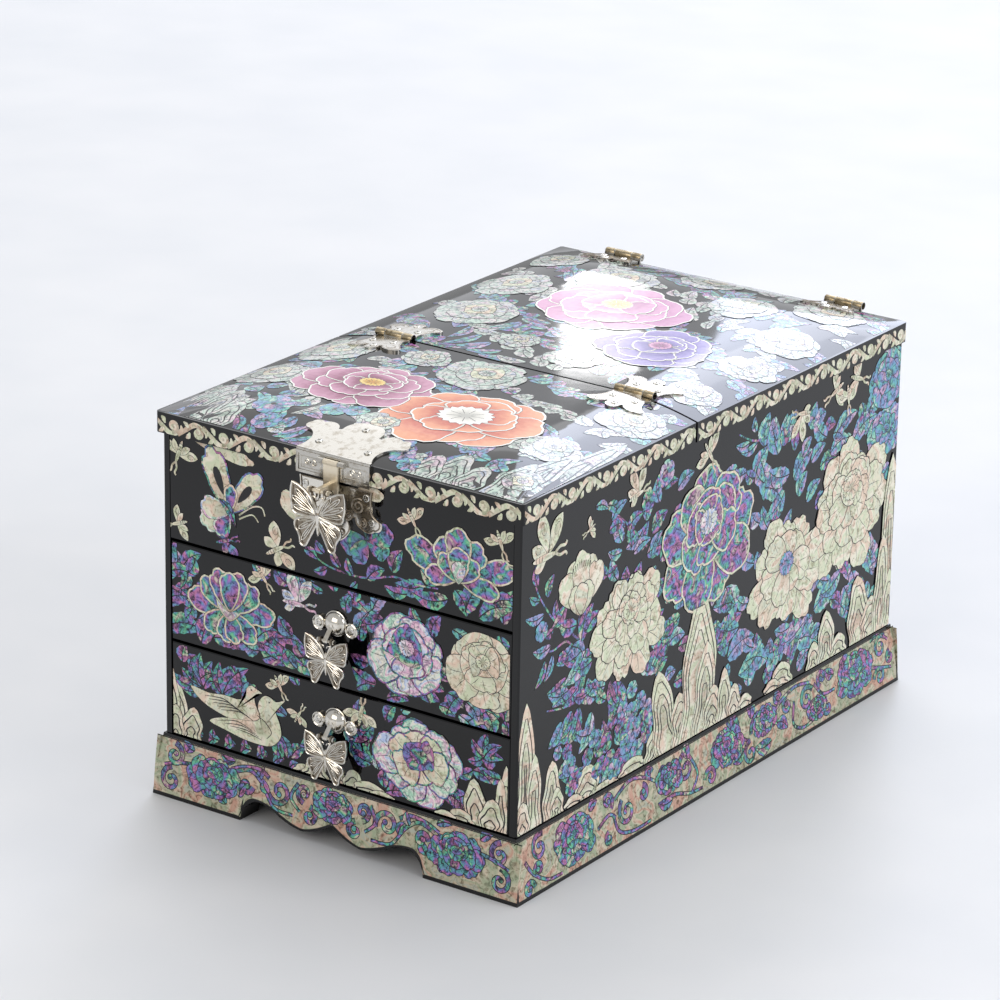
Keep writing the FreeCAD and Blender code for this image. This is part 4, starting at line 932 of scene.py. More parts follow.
def draw_side(work):
    """A long side of the case: peonies over rocks, leaf sprays, blossoms, bees and butterflies."""
    strew(work, ["abalone", "sea", "abalone"], 84, (36, 190, 36, 162), (9, 16), 0.31, [(22, 60, 20)])
    strew(work, ["sea", "sea", "abalone"], 96, (186, 346, 36, 176), (10, 18), 0.77)
    for row in [
            (14, 158, 12, 5, 95), (16, 150, 10, 4, 150), (22, 150, 12, 6, 60), (20, 142, 16, 5, 172),
            (32, 135, 12, 5, 100), (28, 132, 8, 5, 190), (26, 124, 15, 6, 175), (22, 118, 15, 4.5, 235),
            (28, 119, 14, 4.5, 240), (40, 103, 17, 6, 190), (48, 128, 17, 9, 160), (52, 118, 20, 9, 60),
            (56, 122, 15, 8, 25), (44, 118, 15, 8, -40), (56, 112, 22, 10, 215), (62, 105, 14, 8, 180),
            (42, 96, 18, 7, 170), (40, 90, 14, 6, 110), (46, 84, 22, 9, 218), (52, 84, 20, 9, 240),
            (50, 90, 15, 8, 60), (66, 92, 16, 10, 195), (66, 84, 15, 9, 120), (74, 88, 16, 11, 160),
            (63, 78, 22, 9, 240), (84, 88, 26, 16, 262), (88, 78, 18, 11, 230), (62, 184, 12, 5, -20),
            (72, 182, 13, 6, -35), (76, 173, 15, 6, 28), (74, 168, 14, 7, 0), (90, 164, 15, 7, 20),
            (88, 166, 13, 6, 170), (104, 160, 16, 7, 200), (86, 154, 13, 6, 165), (82, 148, 10, 5, 190),
            (96, 150, 16, 6, 12), (106, 164, 13, 8, 60), (118, 170, 14, 8, 100), (112, 156, 16, 9, 30),
            (108, 146, 20, 10, -5), (122, 176, 13, 5, 5), (134, 172, 16, 8, 20), (104, 88, 20, 11, -25),
            (116, 84, 20, 12, 30), (140, 104, 20, 11, 190), (132, 96, 22, 12, 160), (182, 106, 22, 13, -65),
            (178, 96, 14, 9, -10), (176, 74, 26, 14, 30), (186, 66, 26, 14, 10), (196, 80, 22, 11, 160),
            (204, 58, 22, 16, -15), (216, 60, 20, 14, 200), (206, 44, 18, 12, 60), (200, 178, 13, 5, 172),
            (206, 182, 9, 5, 100), (208, 176, 16, 5, 185), (214, 172, 18, 12, 75), (212, 164, 22, 13, -80),
            (206, 156, 20, 12, 50), (214, 150, 26, 12, -35), (228, 164, 22, 13, 100), (236, 168, 18, 11, 60),
            (240, 150, 22, 11, 160), (244, 146, 22, 12, 30), (236, 142, 20, 12, 210), (262, 168, 15, 9, 80),
            (276, 160, 20, 10, 130), (284, 158, 24, 10, 20), (280, 150, 20, 10, 10), (302, 150, 26, 12, 20),
            (316, 160, 20, 12, 30), (322, 146, 26, 14, 0), (306, 90, 22, 14, -30), (318, 88, 24, 16, -60),
            (296, 80, 22, 10, 200), (300, 70, 20, 12, -70), (304, 52, 20, 12, 80), (260, 62, 26, 18, 190),
            (270, 66, 22, 13, 10), (254, 54, 24, 16, -20), (246, 64, 15, 9, 170), (286, 78, 20, 9, 150),
            (328, 76, 18, 12, 100)]:
        leaves(work, "sea" if row[0] > 190 or (row[0] + row[1]) % 3 < 1 else "abalone", [row])
    for path in [
            [(52, 118), (40, 128), (28, 137), (16, 152), (12, 160)], [(50, 112), (40, 122), (28, 121), (18, 124)],
            [(50, 132), (50, 120), (54, 112)], [(70, 90), (54, 88), (40, 88), (24, 91)],
            [(108, 150), (98, 160), (84, 172), (70, 182)], [(218, 176), (204, 178), (190, 185)]]:
        work.start(0)
        work.strip("abalone", curve(path), (1.4, 0.8))
    for x, y, radius in [
            (18, 134, 5.5), (36, 115, 3.6), (34, 66, 4), (42, 64, 4.5), (44, 56, 6), (50, 47, 6), (46, 44, 5),
            (65, 63, 5), (60, 55, 5), (70, 56, 5), (76, 57, 5.5), (72, 47, 5), (68, 45, 4.5), (80, 47, 5.5),
            (84, 40, 6), (78, 38, 5), (90, 60, 7), (98, 66, 6), (100, 56, 7), (94, 50, 6), (104, 44, 6), (108, 58, 6),
            (98, 78, 5), (112, 64, 5), (112, 50, 5.5), (90, 70, 5), (106, 70, 5), (118, 58, 6), (124, 54, 5),
            (94, 40, 6), (88, 46, 5), (108, 174, 6), (124, 184, 7), (120, 182, 5), (234, 172, 5), (230, 50, 6),
            (236, 57, 6), (226, 44, 5), (262, 174, 6)]:
        blossom(work, "abalone" if (x + y) % 4 else "sea", x, y, radius)
    for x, y, radius, squash in [(336, 176, 21, 0.8), (336, 147, 20, 0.7)]:
        work.start(0)
        peony(work, "ink", ["sea"], x, y, radius, squash, 30, ((7, 1.0), (5, 0.6)), 0.4, "sea")
    rocks(work, 33.4, "cream", [
        (7, 6.5, 101, 0.0), (14, 5, 72, 0.02), (5, 5, 50, 0.0), (29.5, 6, 63.5, 0.0), (34, 4.5, 48, 0.0),
        (60, 8, 51, 0.0), (48, 6, 39, 0), (76, 8, 37, 0), (100, 9, 41, 0.0), (120, 7, 50, 0.0), (132, 9, 80, -0.22),
        (146, 8, 62, -0.16), (159, 13, 112, 0.0), (164, 8, 82, 0.05), (172, 7, 56, 0.06), (184, 5, 62, -0.02),
        (193, 5, 50, 0.03), (204, 5, 41, 0), (239, 8, 47, 0.0), (230, 6, 40, 0), (271, 5, 48, 0.0),
        (284, 7, 62, -0.05), (296, 6, 45, 0.03), (318, 9, 72, -0.12), (330, 9, 56, -0.05), (345, 8, 132, 0.0),
        (338, 6, 88, 0.02), (347, 5, 66, 0)])
    work.start(1)
    petals(work, "ink", "cream", 51, 136, 0.4, [(110, 27, 20), (70, 27, 20), (132, 26, 17), (48, 26, 17),
                                                (90, 30, 17)])
    work.start(2)
    petals(work, "ink", "cream", 51, 132, 0.4, [(112, 18, 14), (66, 18, 14), (90, 17, 13)])
    for k in range(9):
        dip = (k - 4) ** 2
        work.strip("ink", [(44.5 + 1.6 * k, 156.5 - 0.09 * dip), (43.6 + 1.8 * k, 160 - 0.12 * dip)], (0.25, 0.5))
    many = {"lobes": 4, "broad": 2.0, "uneven": 0.19}
    work.start(1)
    peony(work, "ink", ["cream"], 94, 113, 34, 0.86, 5, ((10, 1.0), (8, 0.74), (6, 0.5), (4, 0.3)), 0.4, "cream", **many)
    work.start(1)
    peony(work, "ink", ["cream"], 240, 98, 36, 0.95, 15, ((10, 1.0), (7, 0.66)), 0.4, "sea", **many)
    work.start(2)
    peony(work, "cream", ["abalone"], 163, 140, 42, 0.86, 10, ((9, 1.0), (6, 0.62), (4, 0.36)), 1.2, "pale",
          broad=2.2, uneven=0.16)
    work.start(2)
    peony(work, "ink", ["cream"], 302, 114, 42, 0.88, 0, ((11, 1.0), (9, 0.76), (7, 0.52), (5, 0.3)), 0.4, "cream",
          **many)
    insects(work, "cream", 2, [
        (22, 171, 36, 0, SIDE_VIEW), (57, 174, 14, 200, BEE), (99, 180, 24, 10, SIDE_VIEW), (163, 182, 26, -55, BEE),
        (250, 180, 24, 170, SIDE_VIEW), (282, 183, 25, 200, BEE), (306, 184, 26, -20, BEE), (296, 176, 22, -80, BEE)])


def pale_peonies(work, rows):
    for x, y, radius in rows:
        work.start(1)
        peony(work, "ink", ["thin", "thin", "cream"], x, y, radius, 1.0, 40 * chance.random(),
              ((8, 1.0), (6, 0.66), (4, 0.38)), 0.35, "thin")


def painted_peony(work, paint, x, y, radius, squash, turn, rings, centre_shell="yellow", edge=0.9, **how):
    work.start(2)
    peony(work, "white", [paint], x, y, radius, squash, turn, rings, edge, centre_shell, veins=False, **how)


def draw_front_lid(work):
    """The front leaf: two painted peonies among pale flowers, rocks and leaves."""
    strew(work, ["thin", "sea", "thin", "abalone"], 130, (-107, 107, 2, 147), (9, 17), 0.13)
    strew(work, ["sea", "abalone", "sea", "thin"], 74, (-106, 109, 4, 146), (12, 24), 0, widths=(6, 10))
    pale_peonies(work, [
        (-2, 124, 24), (-88, 118, 22), (92, 118, 18), (-92, 70, 20), (95, 18, 14), (0, 36, 15), (84, 60, 16),
        (-40, 130, 14)])
    rocks(work, 1.5, "thin", [
        (-100, 7, 52, 0.05), (-88, 7, 40, 0.05), (-76, 6, 26, 0.04), (60, 7, 28, 0.0), (48, 6, 22, 0.0),
        (74, 6, 22, 0), (104, 6, 96, 0.0), (97, 6, 66, 0.0), (90, 5, 40, 0)])
    for x, y, radius in [(-52, 14, 8), (-60, 30, 11), (30, 14, 7), (38, 8, 6), (24, 24, 6), (-30, 40, 8),
                         (-20, 44, 7)]:
        blossom(work, "sea", x, y, radius)
    painted_peony(work, "mauve", -39, 77, 38, 0.76, 6, ((9, 1.0), (8, 0.72), (5, 0.44)), uneven=0.13)
    painted_peony(work, "orange", 27, 66, 43, 0.88, 12, ((9, 1.0), (8, 0.66)), "white", 1.1, core_size=0.3)


def draw_rear_lid(work):
    """The rear leaf: a pink and a violet peony among pale flowers and leaves."""
    strew(work, ["thin", "sea", "thin", "abalone"], 170, (-107, 107, 151, 350), (9, 17), 0.43)
    strew(work, ["sea", "abalone", "thin", "sea"], 110, (-106, 107, 152, 352), (13, 26), 0, widths=(6, 11))
    pale_peonies(work, [
        (-66, 208, 24), (-80, 262, 22), (-38, 300, 24), (40, 300, 20), (86, 270, 20), (92, 222, 16), (-88, 318, 18),
        (78, 326, 20), (0, 334, 18), (18, 176, 16), (-20, 182, 12), (92, 174, 15)])
    painted_peony(work, "pink", -14, 256, 45, 0.84, 6, ((9, 1.0), (8, 0.72), (5, 0.44)), uneven=0.13)
    painted_peony(work, "violet", 42, 213, 33, 0.94, 14, ((8, 1.0), (7, 0.68), (5, 0.42)), "pink", uneven=0.13)


def apron(u):
    """The lower edge of the front board."""
    t = abs(u) / 56.4
    low, peak, arch = 4.3, 11.8, 12.1
    if t >= 1.0:
        return 0.0
    if t < 0.32:
        return low + (peak - low) * (1 - t / 0.32) ** 1.5
    if t < 0.647:
        k = (t - 0.32) / 0.327
        return low + 0.77 * (arch - low) * k ** 1.5
    if t < 0.84:
        k = (t - 0.647) / 0.193
        return low + (arch - low) * (0.77 + 0.23 * math.sin(0.5 * math.pi * k))
    k = (t - 0.84) / 0.16
    return arch * math.sqrt(max(0.0, 1 - k ** 2.2))


def shell_ground(work, start, end, scalloped):
    """The plinth's ground of pale shell."""
    count = int((end - start) / 1.5)
    points, faces, marks = work.cuts.setdefault("rosy", ([], [], []))
    rows = 5
    for i in range(count + 1):
        u = start + (end - start) * i / count
        low = max(1.6, apron(u) + 0.9) if scalloped else 1.6
        for k in range(rows):
            points.append((u, low + (31.3 - low) * k / (rows - 1), LAYER_FOOT))
            marks.append((0.35, 0.5, 0.2, 1.0))
    for i in range(count):
        for k in range(rows - 1):
            a = i * rows + k
            faces.append((a, a + rows, a + rows + 1, a + 1))


def plinth_vines(work, curls, paths, leaf_rows, flowers):
    """Scrolls, stems, leaves and small peonies on the plinth."""
    for curl in curls:
        work.start(0)
        scroll(work, "abalone", spiral(*curl, 18, 0.78, 0.8), (2.6, 2.0, 1.6), 0.45)
    for path in paths:
        work.start(0)
        work.strip("ink", curve(path), (2.6, 2.0))
        work.strip("abalone", curve(path), (1.7, 1.1))
    leaves(work, "abalone", leaf_rows)
    for x, y, radius in flowers:
        work.start(1)
        peony(work, "ink", ["abalone"], x, y, radius, 0.62, 20 * chance.random(), ((9, 1.0), (7, 0.7), (5, 0.42)), 0.4,
              "abalone")


def plinth_edges(work, start, end, steps, scalloped):
    """Dark lines along the upper and the lower edge of the plinth's shell."""
    work.start(2)
    work.strip("ink", [(start + (end - start) * i / 90, 31.0) for i in range(91)], (0.5, 0.5))
    low = [(start + (end - start) * i / steps, 1.85) for i in range(steps + 1)]
    if scalloped:
        low = [(u, max(1.85, apron(u) + 1.1)) for u, v in low]
    work.strip("ink", low, (0.5, 0.5))


def draw_plinth_front(work, scalloped=True):
    shell_ground(work, -112.0, 112.0, scalloped)
    curls = [(100, 23, 6.5, 90, 400), (101, 10, 7, 90, -400), (54, 19, 4.5, 0, 380), (33, 21, 7.5, 200, -420),
             (14, 13, 5, 90, 380), (18, 24, 5, 270, 380)]
    paths = [[(62, 24), (52, 27), (44, 22), (36, 12), (24, 11)], [(88, 21), (96, 20), (106, 17)],
             [(40, 26), (46, 29), (56, 28), (64, 25)], [(22, 28), (26, 20), (20, 14)]]
    leaf_rows = [(58, 12, 9, 5, 120), (66, 6, 7, 5, 60), (88, 28, 8, 5, 30), (40, 18, 8, 5, 60), (62, 29, 9, 4, 10),
                 (46, 24, 7, 4, 110)]
    for side in (-1, 1):
        plinth_vines(work, [(side * x, y, radius, start, side * sweep) for x, y, radius, start, sweep in curls],
                     [[(side * x, y) for x, y in path] for path in paths],
                     [(side * x, y, length, width, angle if side > 0 else 180 - angle)
                      for x, y, length, width, angle in leaf_rows], [(side * 75, 17, 18)])
    plinth_vines(work, [], [], [], [(0, 21.5, 14)])
    plinth_edges(work, -112.0, 112.0, 180, scalloped)


def draw_plinth_back(work):
    draw_plinth_front(work, scalloped=False)


def draw_plinth_side(work):
    shell_ground(work, -3.0, 353.0, False)
    plinth_vines(work, [
        (17, 23, 7.5, 60, 420), (15, 13, 4, 200, -380), (6, 5, 5, 0, 380), (76, 26, 5, 300, 400),
        (92, 16, 8, 120, 420), (107, 20, 4.5, 90, -380), (113, 28, 3.5, 0, 400), (75, 7, 3.5, 90, 380),
        (146, 20, 8, 100, 400), (168, 8, 6, 180, -400), (206, 8, 7, 90, 400), (214, 20, 7, 200, -420),
        (243, 22, 5, 90, 400), (262, 19, 7.5, 30, 420), (278, 26, 5, 250, -400), (282, 8, 5, 90, 400),
        (338, 24, 7, 40, 420), (336, 8, 6, 180, -400), (234, 28, 4, 0, 380), (347, 16, 4, 90, 380)
    ], [
        [(4, 20), (10, 12), (22, 5), (34, 4)], [(82, 25), (96, 30), (110, 27), (122, 20)],
        [(80, 18), (84, 8), (96, 4), (112, 4)], [(66, 15), (76, 19), (82, 16)],
        [(120, 9), (134, 10), (148, 6), (160, 5)], [(150, 25), (156, 14), (150, 6)],
        [(226, 20), (238, 26), (252, 29), (266, 27)], [(186, 31), (194, 22), (206, 14)],
        [(250, 22), (248, 10), (258, 5), (272, 7)], [(270, 25), (278, 17), (290, 16)],
        [(328, 30), (338, 31), (346, 26)], [(326, 16), (336, 13), (348, 10)]
    ], [
        (132, 8, 13, 6, 170), (148, 24, 10, 6, 80), (196, 24, 12, 7, 110), (208, 26, 12, 7, 60),
        (222, 24, 14, 8, -40), (226, 8, 16, 8, 175), (60, 27, 8, 5, 20), (290, 24, 10, 6, 150), (232, 16, 12, 7, -30),
        (200, 12, 12, 6, 200)
    ], [(46, 17, 20), (130, 20, 14), (184, 18, 17), (221, 21, 13), (311, 18, 21), (272, 11, 11)])
    plinth_edges(work, -3.0, 353.0, 90, False)


# Fittings

MID_HINGE_X = 73.5
REAR_HINGE_X = 70.0
MID_AXIS = (SEAM_Y, crown(62.0, SEAM_Y) + 1.33)      # the crown's height at a barrel's outer end, and clearance
REAR_AXIS = (352.3, 206.5)
BARREL = 2.1
SHEET = 1.2                  # thickness of leaves and plates
BACK_LEAF_TOP = 192.3
LOWER_PLATE_TOP = 190.3
DRAWERS = (("upper_drawer", 118.0), ("lower_drawer", 67.0))      # and the height of each one's pull
SCREW_RING_X = 9.8
SCREW_RING_DOWN = 1.5        # the screw rings below the middle of a pull
# Outlines of right halves, as arcs through three points
HINGE_LEAF = [
    ((11.5, 2.5), (10.9, 9.5), (15.6, 16.6)), ((15.6, 16.6), (16.1, 19.1), (14.2, 20.5)),
    ((14.2, 20.5), (9.6, 21.4), (5.6, 19.4)), ((5.6, 19.4), (4.7, 18.2), (3.9, 19.6)),
    ((3.9, 19.6), (2.9, 22.6), (0.0, 23.8))]
HINGE_SCREWS = [(-6.4, 10.5), (6.4, 10.5), (0.0, 18.8)]
TOP_PLATE_SCREWS = [(-14.6, 7.0), (14.6, 7.0), (0.0, 24.8)]
LOWER_PLATE = [
    ((22.0, 0.0), (21.6, 6.0), (22.3, 11.4)), ((22.3, 11.4), (24.6, 13.6), (27.2, 14.8)),
    ((27.2, 14.8), (26.6, 18.6), (23.3, 19.6)), ((23.3, 19.6), (19.8, 21.4), (16.6, 20.4)),
    ((16.6, 20.4), (13.6, 18.6), (12.4, 15.2)), ((12.4, 15.2), (9.4, 15.8), (7.4, 17.8)),
    ((7.4, 17.8), (8.6, 21.2), (7.4, 24.4)), ((7.4, 24.4), (4.4, 27.6), (0.0, 29.4))]
LOWER_PLATE_SCREWS = [(-18.2, 3.6), (18.2, 3.6), (-21.6, 15.6), (21.6, 15.6)]
UPPER_WING = [
    ((0.3, 1.6), (5.6, 8.7), (12.1, 11.4)), ((12.1, 11.4), (12.75, 6.6), (12.0, 2.0)),
    ((12.0, 2.0), (11.4, -0.2), (9.6, -0.8)), ((9.6, -0.8), (5.2, -0.75), (0.3, -0.1))]
LOWER_WING = [
    ((0.3, -0.7), (5.8, -1.5), (9.7, -2.7)), ((9.7, -2.7), (10.9, -4.8), (9.7, -7.4)),
    ((9.7, -7.4), (8.6, -9.7), (8.3, -12.0)), ((8.3, -12.0), (6.6, -13.1), (5.0, -12.0)),
    ((5.0, -12.0), (2.9, -8.0), (0.3, -3.2))]
# Veins of a wing: angle, length and width
UPPER_VEINS = [(56, 9.6, 2.0), (41, 12.8, 2.3), (25, 12.4, 2.7), (8, 10.6, 2.5)]
LOWER_VEINS = [(-12, 8.6, 1.7), (-33, 9.6, 2.3), (-55, 11.8, 2.2)]
WING_SPAN = 25.5


def through(a, b, c, steps=5):
    """Points on the arc from a through b to c."""
    d = 2 * (a[0] * (b[1] - c[1]) + b[0] * (c[1] - a[1]) + c[0] * (a[1] - b[1]))
    sums = [p[0] ** 2 + p[1] ** 2 for p in (a, b, c)]
    x = (sums[0] * (b[1] - c[1]) + sums[1] * (c[1] - a[1]) + sums[2] * (a[1] - b[1])) / d
    y = (sums[0] * (c[0] - b[0]) + sums[1] * (a[0] - c[0]) + sums[2] * (b[0] - a[0])) / d
    first, middle, last = (math.atan2(p[1] - y, p[0] - x) for p in (a, b, c))
    sweep = (last - first) % (2 * math.pi)
    if (middle - first) % (2 * math.pi) > sweep:
        sweep -= 2 * math.pi
    radius = math.hypot(a[0] - x, a[1] - y)
    return [(x + radius * math.cos(first + sweep * k / steps), y + radius * math.sin(first + sweep * k / steps))
            for k in range(steps)]


def outline(arcs):
    return [point for arc in arcs for point in through(*arc)] + [arcs[-1][2]]


def hold(piece, name, body, material):
    """Names a finished fitting, gives it its metal and lets it ride on its body."""
    piece.name = name
    piece.data.materials.clear()
    piece.data.materials.append(material)
    pick(piece)
    bpy.ops.object.shade_smooth_by_angle(angle=math.radians(40))
    bpy.ops.object.transform_apply(location=True, rotation=True, scale=True)
    piece.select_set(False)
    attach(piece, body)
    return piece


def bead(name, body, lines, material):
    """Raised lines of a casting. Each line is its points in millimetres, its half widths and whether it closes."""
    data = bpy.data.curves.new(name, "CURVE")
    data.dimensions = "3D"
    data.bevel_depth = MM
    data.bevel_resolution = 1
    data.use_fill_caps = True
    for points, halves, closed in lines:
        spline = data.splines.new("POLY")
        spline.points.add(len(points) - 1)
        for i, (knot, point) in enumerate(zip(spline.points, points)):
            knot.co = (*place(*point), 1.0)
            knot.radius = between(halves, i / (len(points) - 1))
        spline.use_cyclic_u = closed
    pick(show(bpy.data.objects.new(name, data)))
    bpy.ops.object.convert(target="MESH")
    hold(bpy.context.object, name, body, material)


def bevelled(piece, width, segments):
    bevel = piece.modifiers.new("bevel", "BEVEL")
    bevel.width = width * MM
    bevel.segments = segments
    bevel.limit_method = "ANGLE"
    bpy.ops.object.modifier_apply(modifier="bevel")


def dress_butterfly(name, body, span, pivot_y, pivot_z):
    """Rim, veins, body and feelers that stand out from a cast butterfly's wings."""
    size = span / WING_SPAN
    front = pivot_y - 0.6
    middle = pivot_z - 10.0 * size
    lines = []
    for side in (-1, 1):
        def raise_line(points, halves, closed=False, out=0.0):
            knots = [(side * u * size, front - out, middle + v * size) for u, v in points]
            lines.append((knots, [half * size for half in halves], closed))
        for arcs in (UPPER_WING, LOWER_WING):
            raise_line(outline(arcs), (0.42,), True)
        for veins, root in ((UPPER_VEINS, (0.8, 0.6)), (LOWER_VEINS, (0.8, -1.3))):
            for angle, length, width in veins:
                loop = []
                for k in range(17):
                    t = 2 * math.pi * k / 17
                    u = 0.5 * length * (1 - math.cos(t)) * 0.97 + 0.3
                    loop.append((u, 0.5 * width * math.sin(t) * (0.3 + 0.7 * u / length)))
                raise_line(turned(loop, *root, angle), (0.24,), True)
                rib = [(k * length, 0.0) for k in (0.45, 0.66, 0.84)]
                raise_line(turned(rib, *root, angle), (0.12, 0.34, 0.2))
        raise_line(curve([(0.5, 2.2), (1.9, 5.2), (3.2, 8.0), (3.4, 9.2)], steps=4), (0.5, 0.4), out=0.1)
        feeler = [(2.0 - 1.2 * math.cos(k * 0.6), 6.6 + 1.2 * math.sin(k * 0.6)) for k in range(8)]
        raise_line(feeler, (0.32, 0.2), out=0.1)
    trunk = [(4.0, 0.3), (3.2, 0.95), (2.2, 1.05), (1.2, 0.8), (0.2, 1.15), (-1.2, 1.05), (-2.6, 0.85), (-4.0, 0.8),
             (-5.4, 0.7), (-6.8, 0.55), (-7.9, 0.2)]
    lines.append(([(0, pivot_y - 0.15, middle + v * size) for v, half in trunk], [half * size for v, half in trunk],
                  False))
    bead(name, body, lines, nickel)


def screw_head():
    """A domed screw head of 2 mm radius with a cross recess, looking up from the origin."""
    bpy.ops.mesh.primitive_cylinder_add(vertices=20, radius=1.95 * MM, depth=1.1 * MM, location=(0, 0, -0.05 * MM))
    head = bpy.context.object
    bevelled(head, 0.8, 3)
    for turn in (0, 90):
        bpy.ops.mesh.primitive_cube_add(size=1, location=(0, 0, 0.55 * MM), rotation=(0, 0, math.radians(45 + turn)),
                                        scale=(2.2 * MM, 0.55 * MM, 1.0 * MM))
        cutter = bpy.context.object
        pick(head)
        cross = head.modifiers.new("cross", "BOOLEAN")
        cross.operation = "DIFFERENCE"
        cross.object = cutter
        bpy.ops.object.modifier_apply(modifier="cross")
        bpy.data.objects.remove(cutter)
    mesh = head.data
    bpy.data.objects.remove(head)
    return mesh


def set_screws(name, body, node, mesh, seats):
    """Screws at their seats, in place of the frame's plain ones. A seat is a point and its tilt from upright."""
    heads = []
    for point, tilt in seats:
        head = show(bpy.data.objects.new(name, mesh.copy()))
        head.location = place(*point)
        head.rotation_euler = (tilt, 0, 0)
        heads.append(head)
    pick(*heads)
    bpy.ops.object.join()
    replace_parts(hold(bpy.context.object, name, body, screw_steel), node)


def put_in_screws():
    def on_top(x, y):
        return ((x, y, crown(x, y) + SHEET - 0.05), 0)
    mesh = screw_head()
    forward, backward = math.pi / 2, -math.pi / 2
    front = [on_top(u, LID_FRONT + v) for u, v in TOP_PLATE_SCREWS]
    rear = []
    case = [((u, -1.15, LOWER_PLATE_TOP - v), forward) for u, v in LOWER_PLATE_SCREWS]
    for u, v in HINGE_SCREWS:
        for side in (-1, 1):
            front.append(on_top(side * MID_HINGE_X + u, SEAM_Y - v))
            rear.append(on_top(side * MID_HINGE_X + u, SEAM_Y + v))
            rear.append(on_top(side * REAR_HINGE_X + u, REAR_AXIS[0] - v))
            case.append(((side * REAR_HINGE_X + u, CASE_DEPTH + 1.15, BACK_LEAF_TOP - v), backward))
    set_screws("front_lid_screw_heads", "front_lid", "front_lid_screws", mesh, front)
    set_screws("rear_lid_screw_heads", "rear_lid", "rear_lid_screws", mesh, rear)
    set_screws("case_screw_heads", "cabinet", "case_screws", mesh, case)
    for name, z in DRAWERS:
        seats = [((side * SCREW_RING_X, -1.55, z - SCREW_RING_DOWN), forward) for side in (-1, 1)]
        set_screws(name + "_pull_screw_heads", name, name + "_pull_screws", mesh, seats)


def sleeve(name, body, spans, y, z):
    """Knuckles of a hinge barrel, turned smooth, with a fine chamfer at each end."""
    tubes = []
    for a, b in spans:
        bpy.ops.mesh.primitive_cylinder_add(vertices=36, radius=BARREL * MM, depth=(b - a) * MM,
                                            location=place(0.5 * (a + b), y, z), rotation=(0, math.pi / 2, 0))
        tubes.append(bpy.context.object)
        bevelled(tubes[-1], 0.25, 2)
    pick(*reversed(tubes))
    if len(tubes) > 1:
        bpy.ops.object.join()
    hold(bpy.context.object, name, body, hinge_brass)


def dress_hinges():
    """A raised border with two curls on each leaf, and the knuckles of its barrel."""
    rim = [(0.94 * u, 0.95 * v + 0.2) for u, v in outline(HINGE_LEAF)]
    rim += [(-u, v) for u, v in reversed(rim)]
    curls = []
    for side in (-1, 1):
        curls.append([(side * (9.8 - 3.2 * math.cos(k * 0.62) * (1 - 0.06 * k)),
                       16.4 + 3.0 * math.sin(k * 0.62) * (1 - 0.06 * k)) for k in range(11)])

    def on_crown(x, y, toward, above):
        return lambda u, v: (x + u, y + toward * v, crown(x + u, y + toward * v) + above)
    for side, word in ((-1, "left"), (1, "right")):
        mid_x, rear_x = side * MID_HINGE_X, side * REAR_HINGE_X
        for kind, body, x, axis, middle_knuckle, at in (
                # The mid leaves fold face to face, so their borders stand out less
                ("mid_hinge_front", "front_lid", mid_x, MID_AXIS, True, on_crown(mid_x, SEAM_Y, -1, 0.98)),
                ("mid_hinge_rear", "rear_lid", mid_x, MID_AXIS, False, on_crown(mid_x, SEAM_Y, 1, 0.98)),
                ("rear_hinge_lid", "rear_lid", rear_x, REAR_AXIS, True, on_crown(rear_x, REAR_AXIS[0], -1, SHEET)),
                ("rear_hinge_back", "cabinet", rear_x, REAR_AXIS, False,
                 lambda u, v: (rear_x + u, CASE_DEPTH + SHEET, BACK_LEAF_TOP - v))):
            lines = [([at(u, v) for u, v in rim], (0.34,), False)]
            lines += [([at(u, v) for u, v in line], (0.3, 0.4, 0.2), False) for line in curls]
            # The borders are brown patina, darker also as painted shade
            bead("%s_%s_border" % (kind, word), body, lines, tarnish_and_painted_shade)
            spans = [(x - 5.35, x + 5.35)] if middle_knuckle else [(x - 11.5, x - 5.5), (x + 5.5, x + 11.5)]
            sleeve("%s_%s_barrel" % (kind, word), body, spans, *axis)


def dress_latch():
    """Raised borders and scrolls of the flange and of the lower plate."""
    def curl(side, x, z, radius, start, sweep, y, halves):
        path = spiral(0, 0, radius, start, sweep, 24, 0.8)
        return ([(side * (x + u), y, z + v) for u, v in path], halves, False)
    y = LID_FRONT - 1.25
    flange = []
    for side in (-1, 1):
        frame_line = [(side * x, y, z) for x, z in ((7.4, 195.6), (19.2, 195.6), (19.2, 201.2), (7.4, 201.2))]
        flange.append((frame_line, (0.3,), True))
        flange.append(curl(side, 11.5, 198.4, 2.0, 0, 420, y, (0.28, 0.38, 0.28)))
        flange.append(curl(side, 15.6, 198.6, 1.7, 180, -400, y, (0.28, 0.36, 0.25)))
    bead("flange_scrolls", "front_lid", flange, nickel)
    half = [(0.95 * u, 0.96 * v + 0.3) for u, v in outline(LOWER_PLATE)]
    rim = half + [(-u, v) for u, v in reversed(half)]
    plate = [([(u, -SHEET, LOWER_PLATE_TOP - v) for u, v in rim], (0.4,), True)]
    for side in (-1, 1):
        for x, z, radius, start, sweep in ((13.2, 181.5, 4.2, 60, 640), (16.0, 173.6, 2.6, 100, -620),
                                           (7.4, 175.5, 3.2, 240, -620), (3.6, 166.6, 2.4, 90, 600)):
            plate.append(curl(side, x, z, radius, start, sweep, -1.25, (0.35, 0.55, 0.3)))
    # The scrolls are brown patina, darker also as painted shade
    bead("lower_plate_scrolls", "cabinet", plate, tarnish_and_painted_shade)


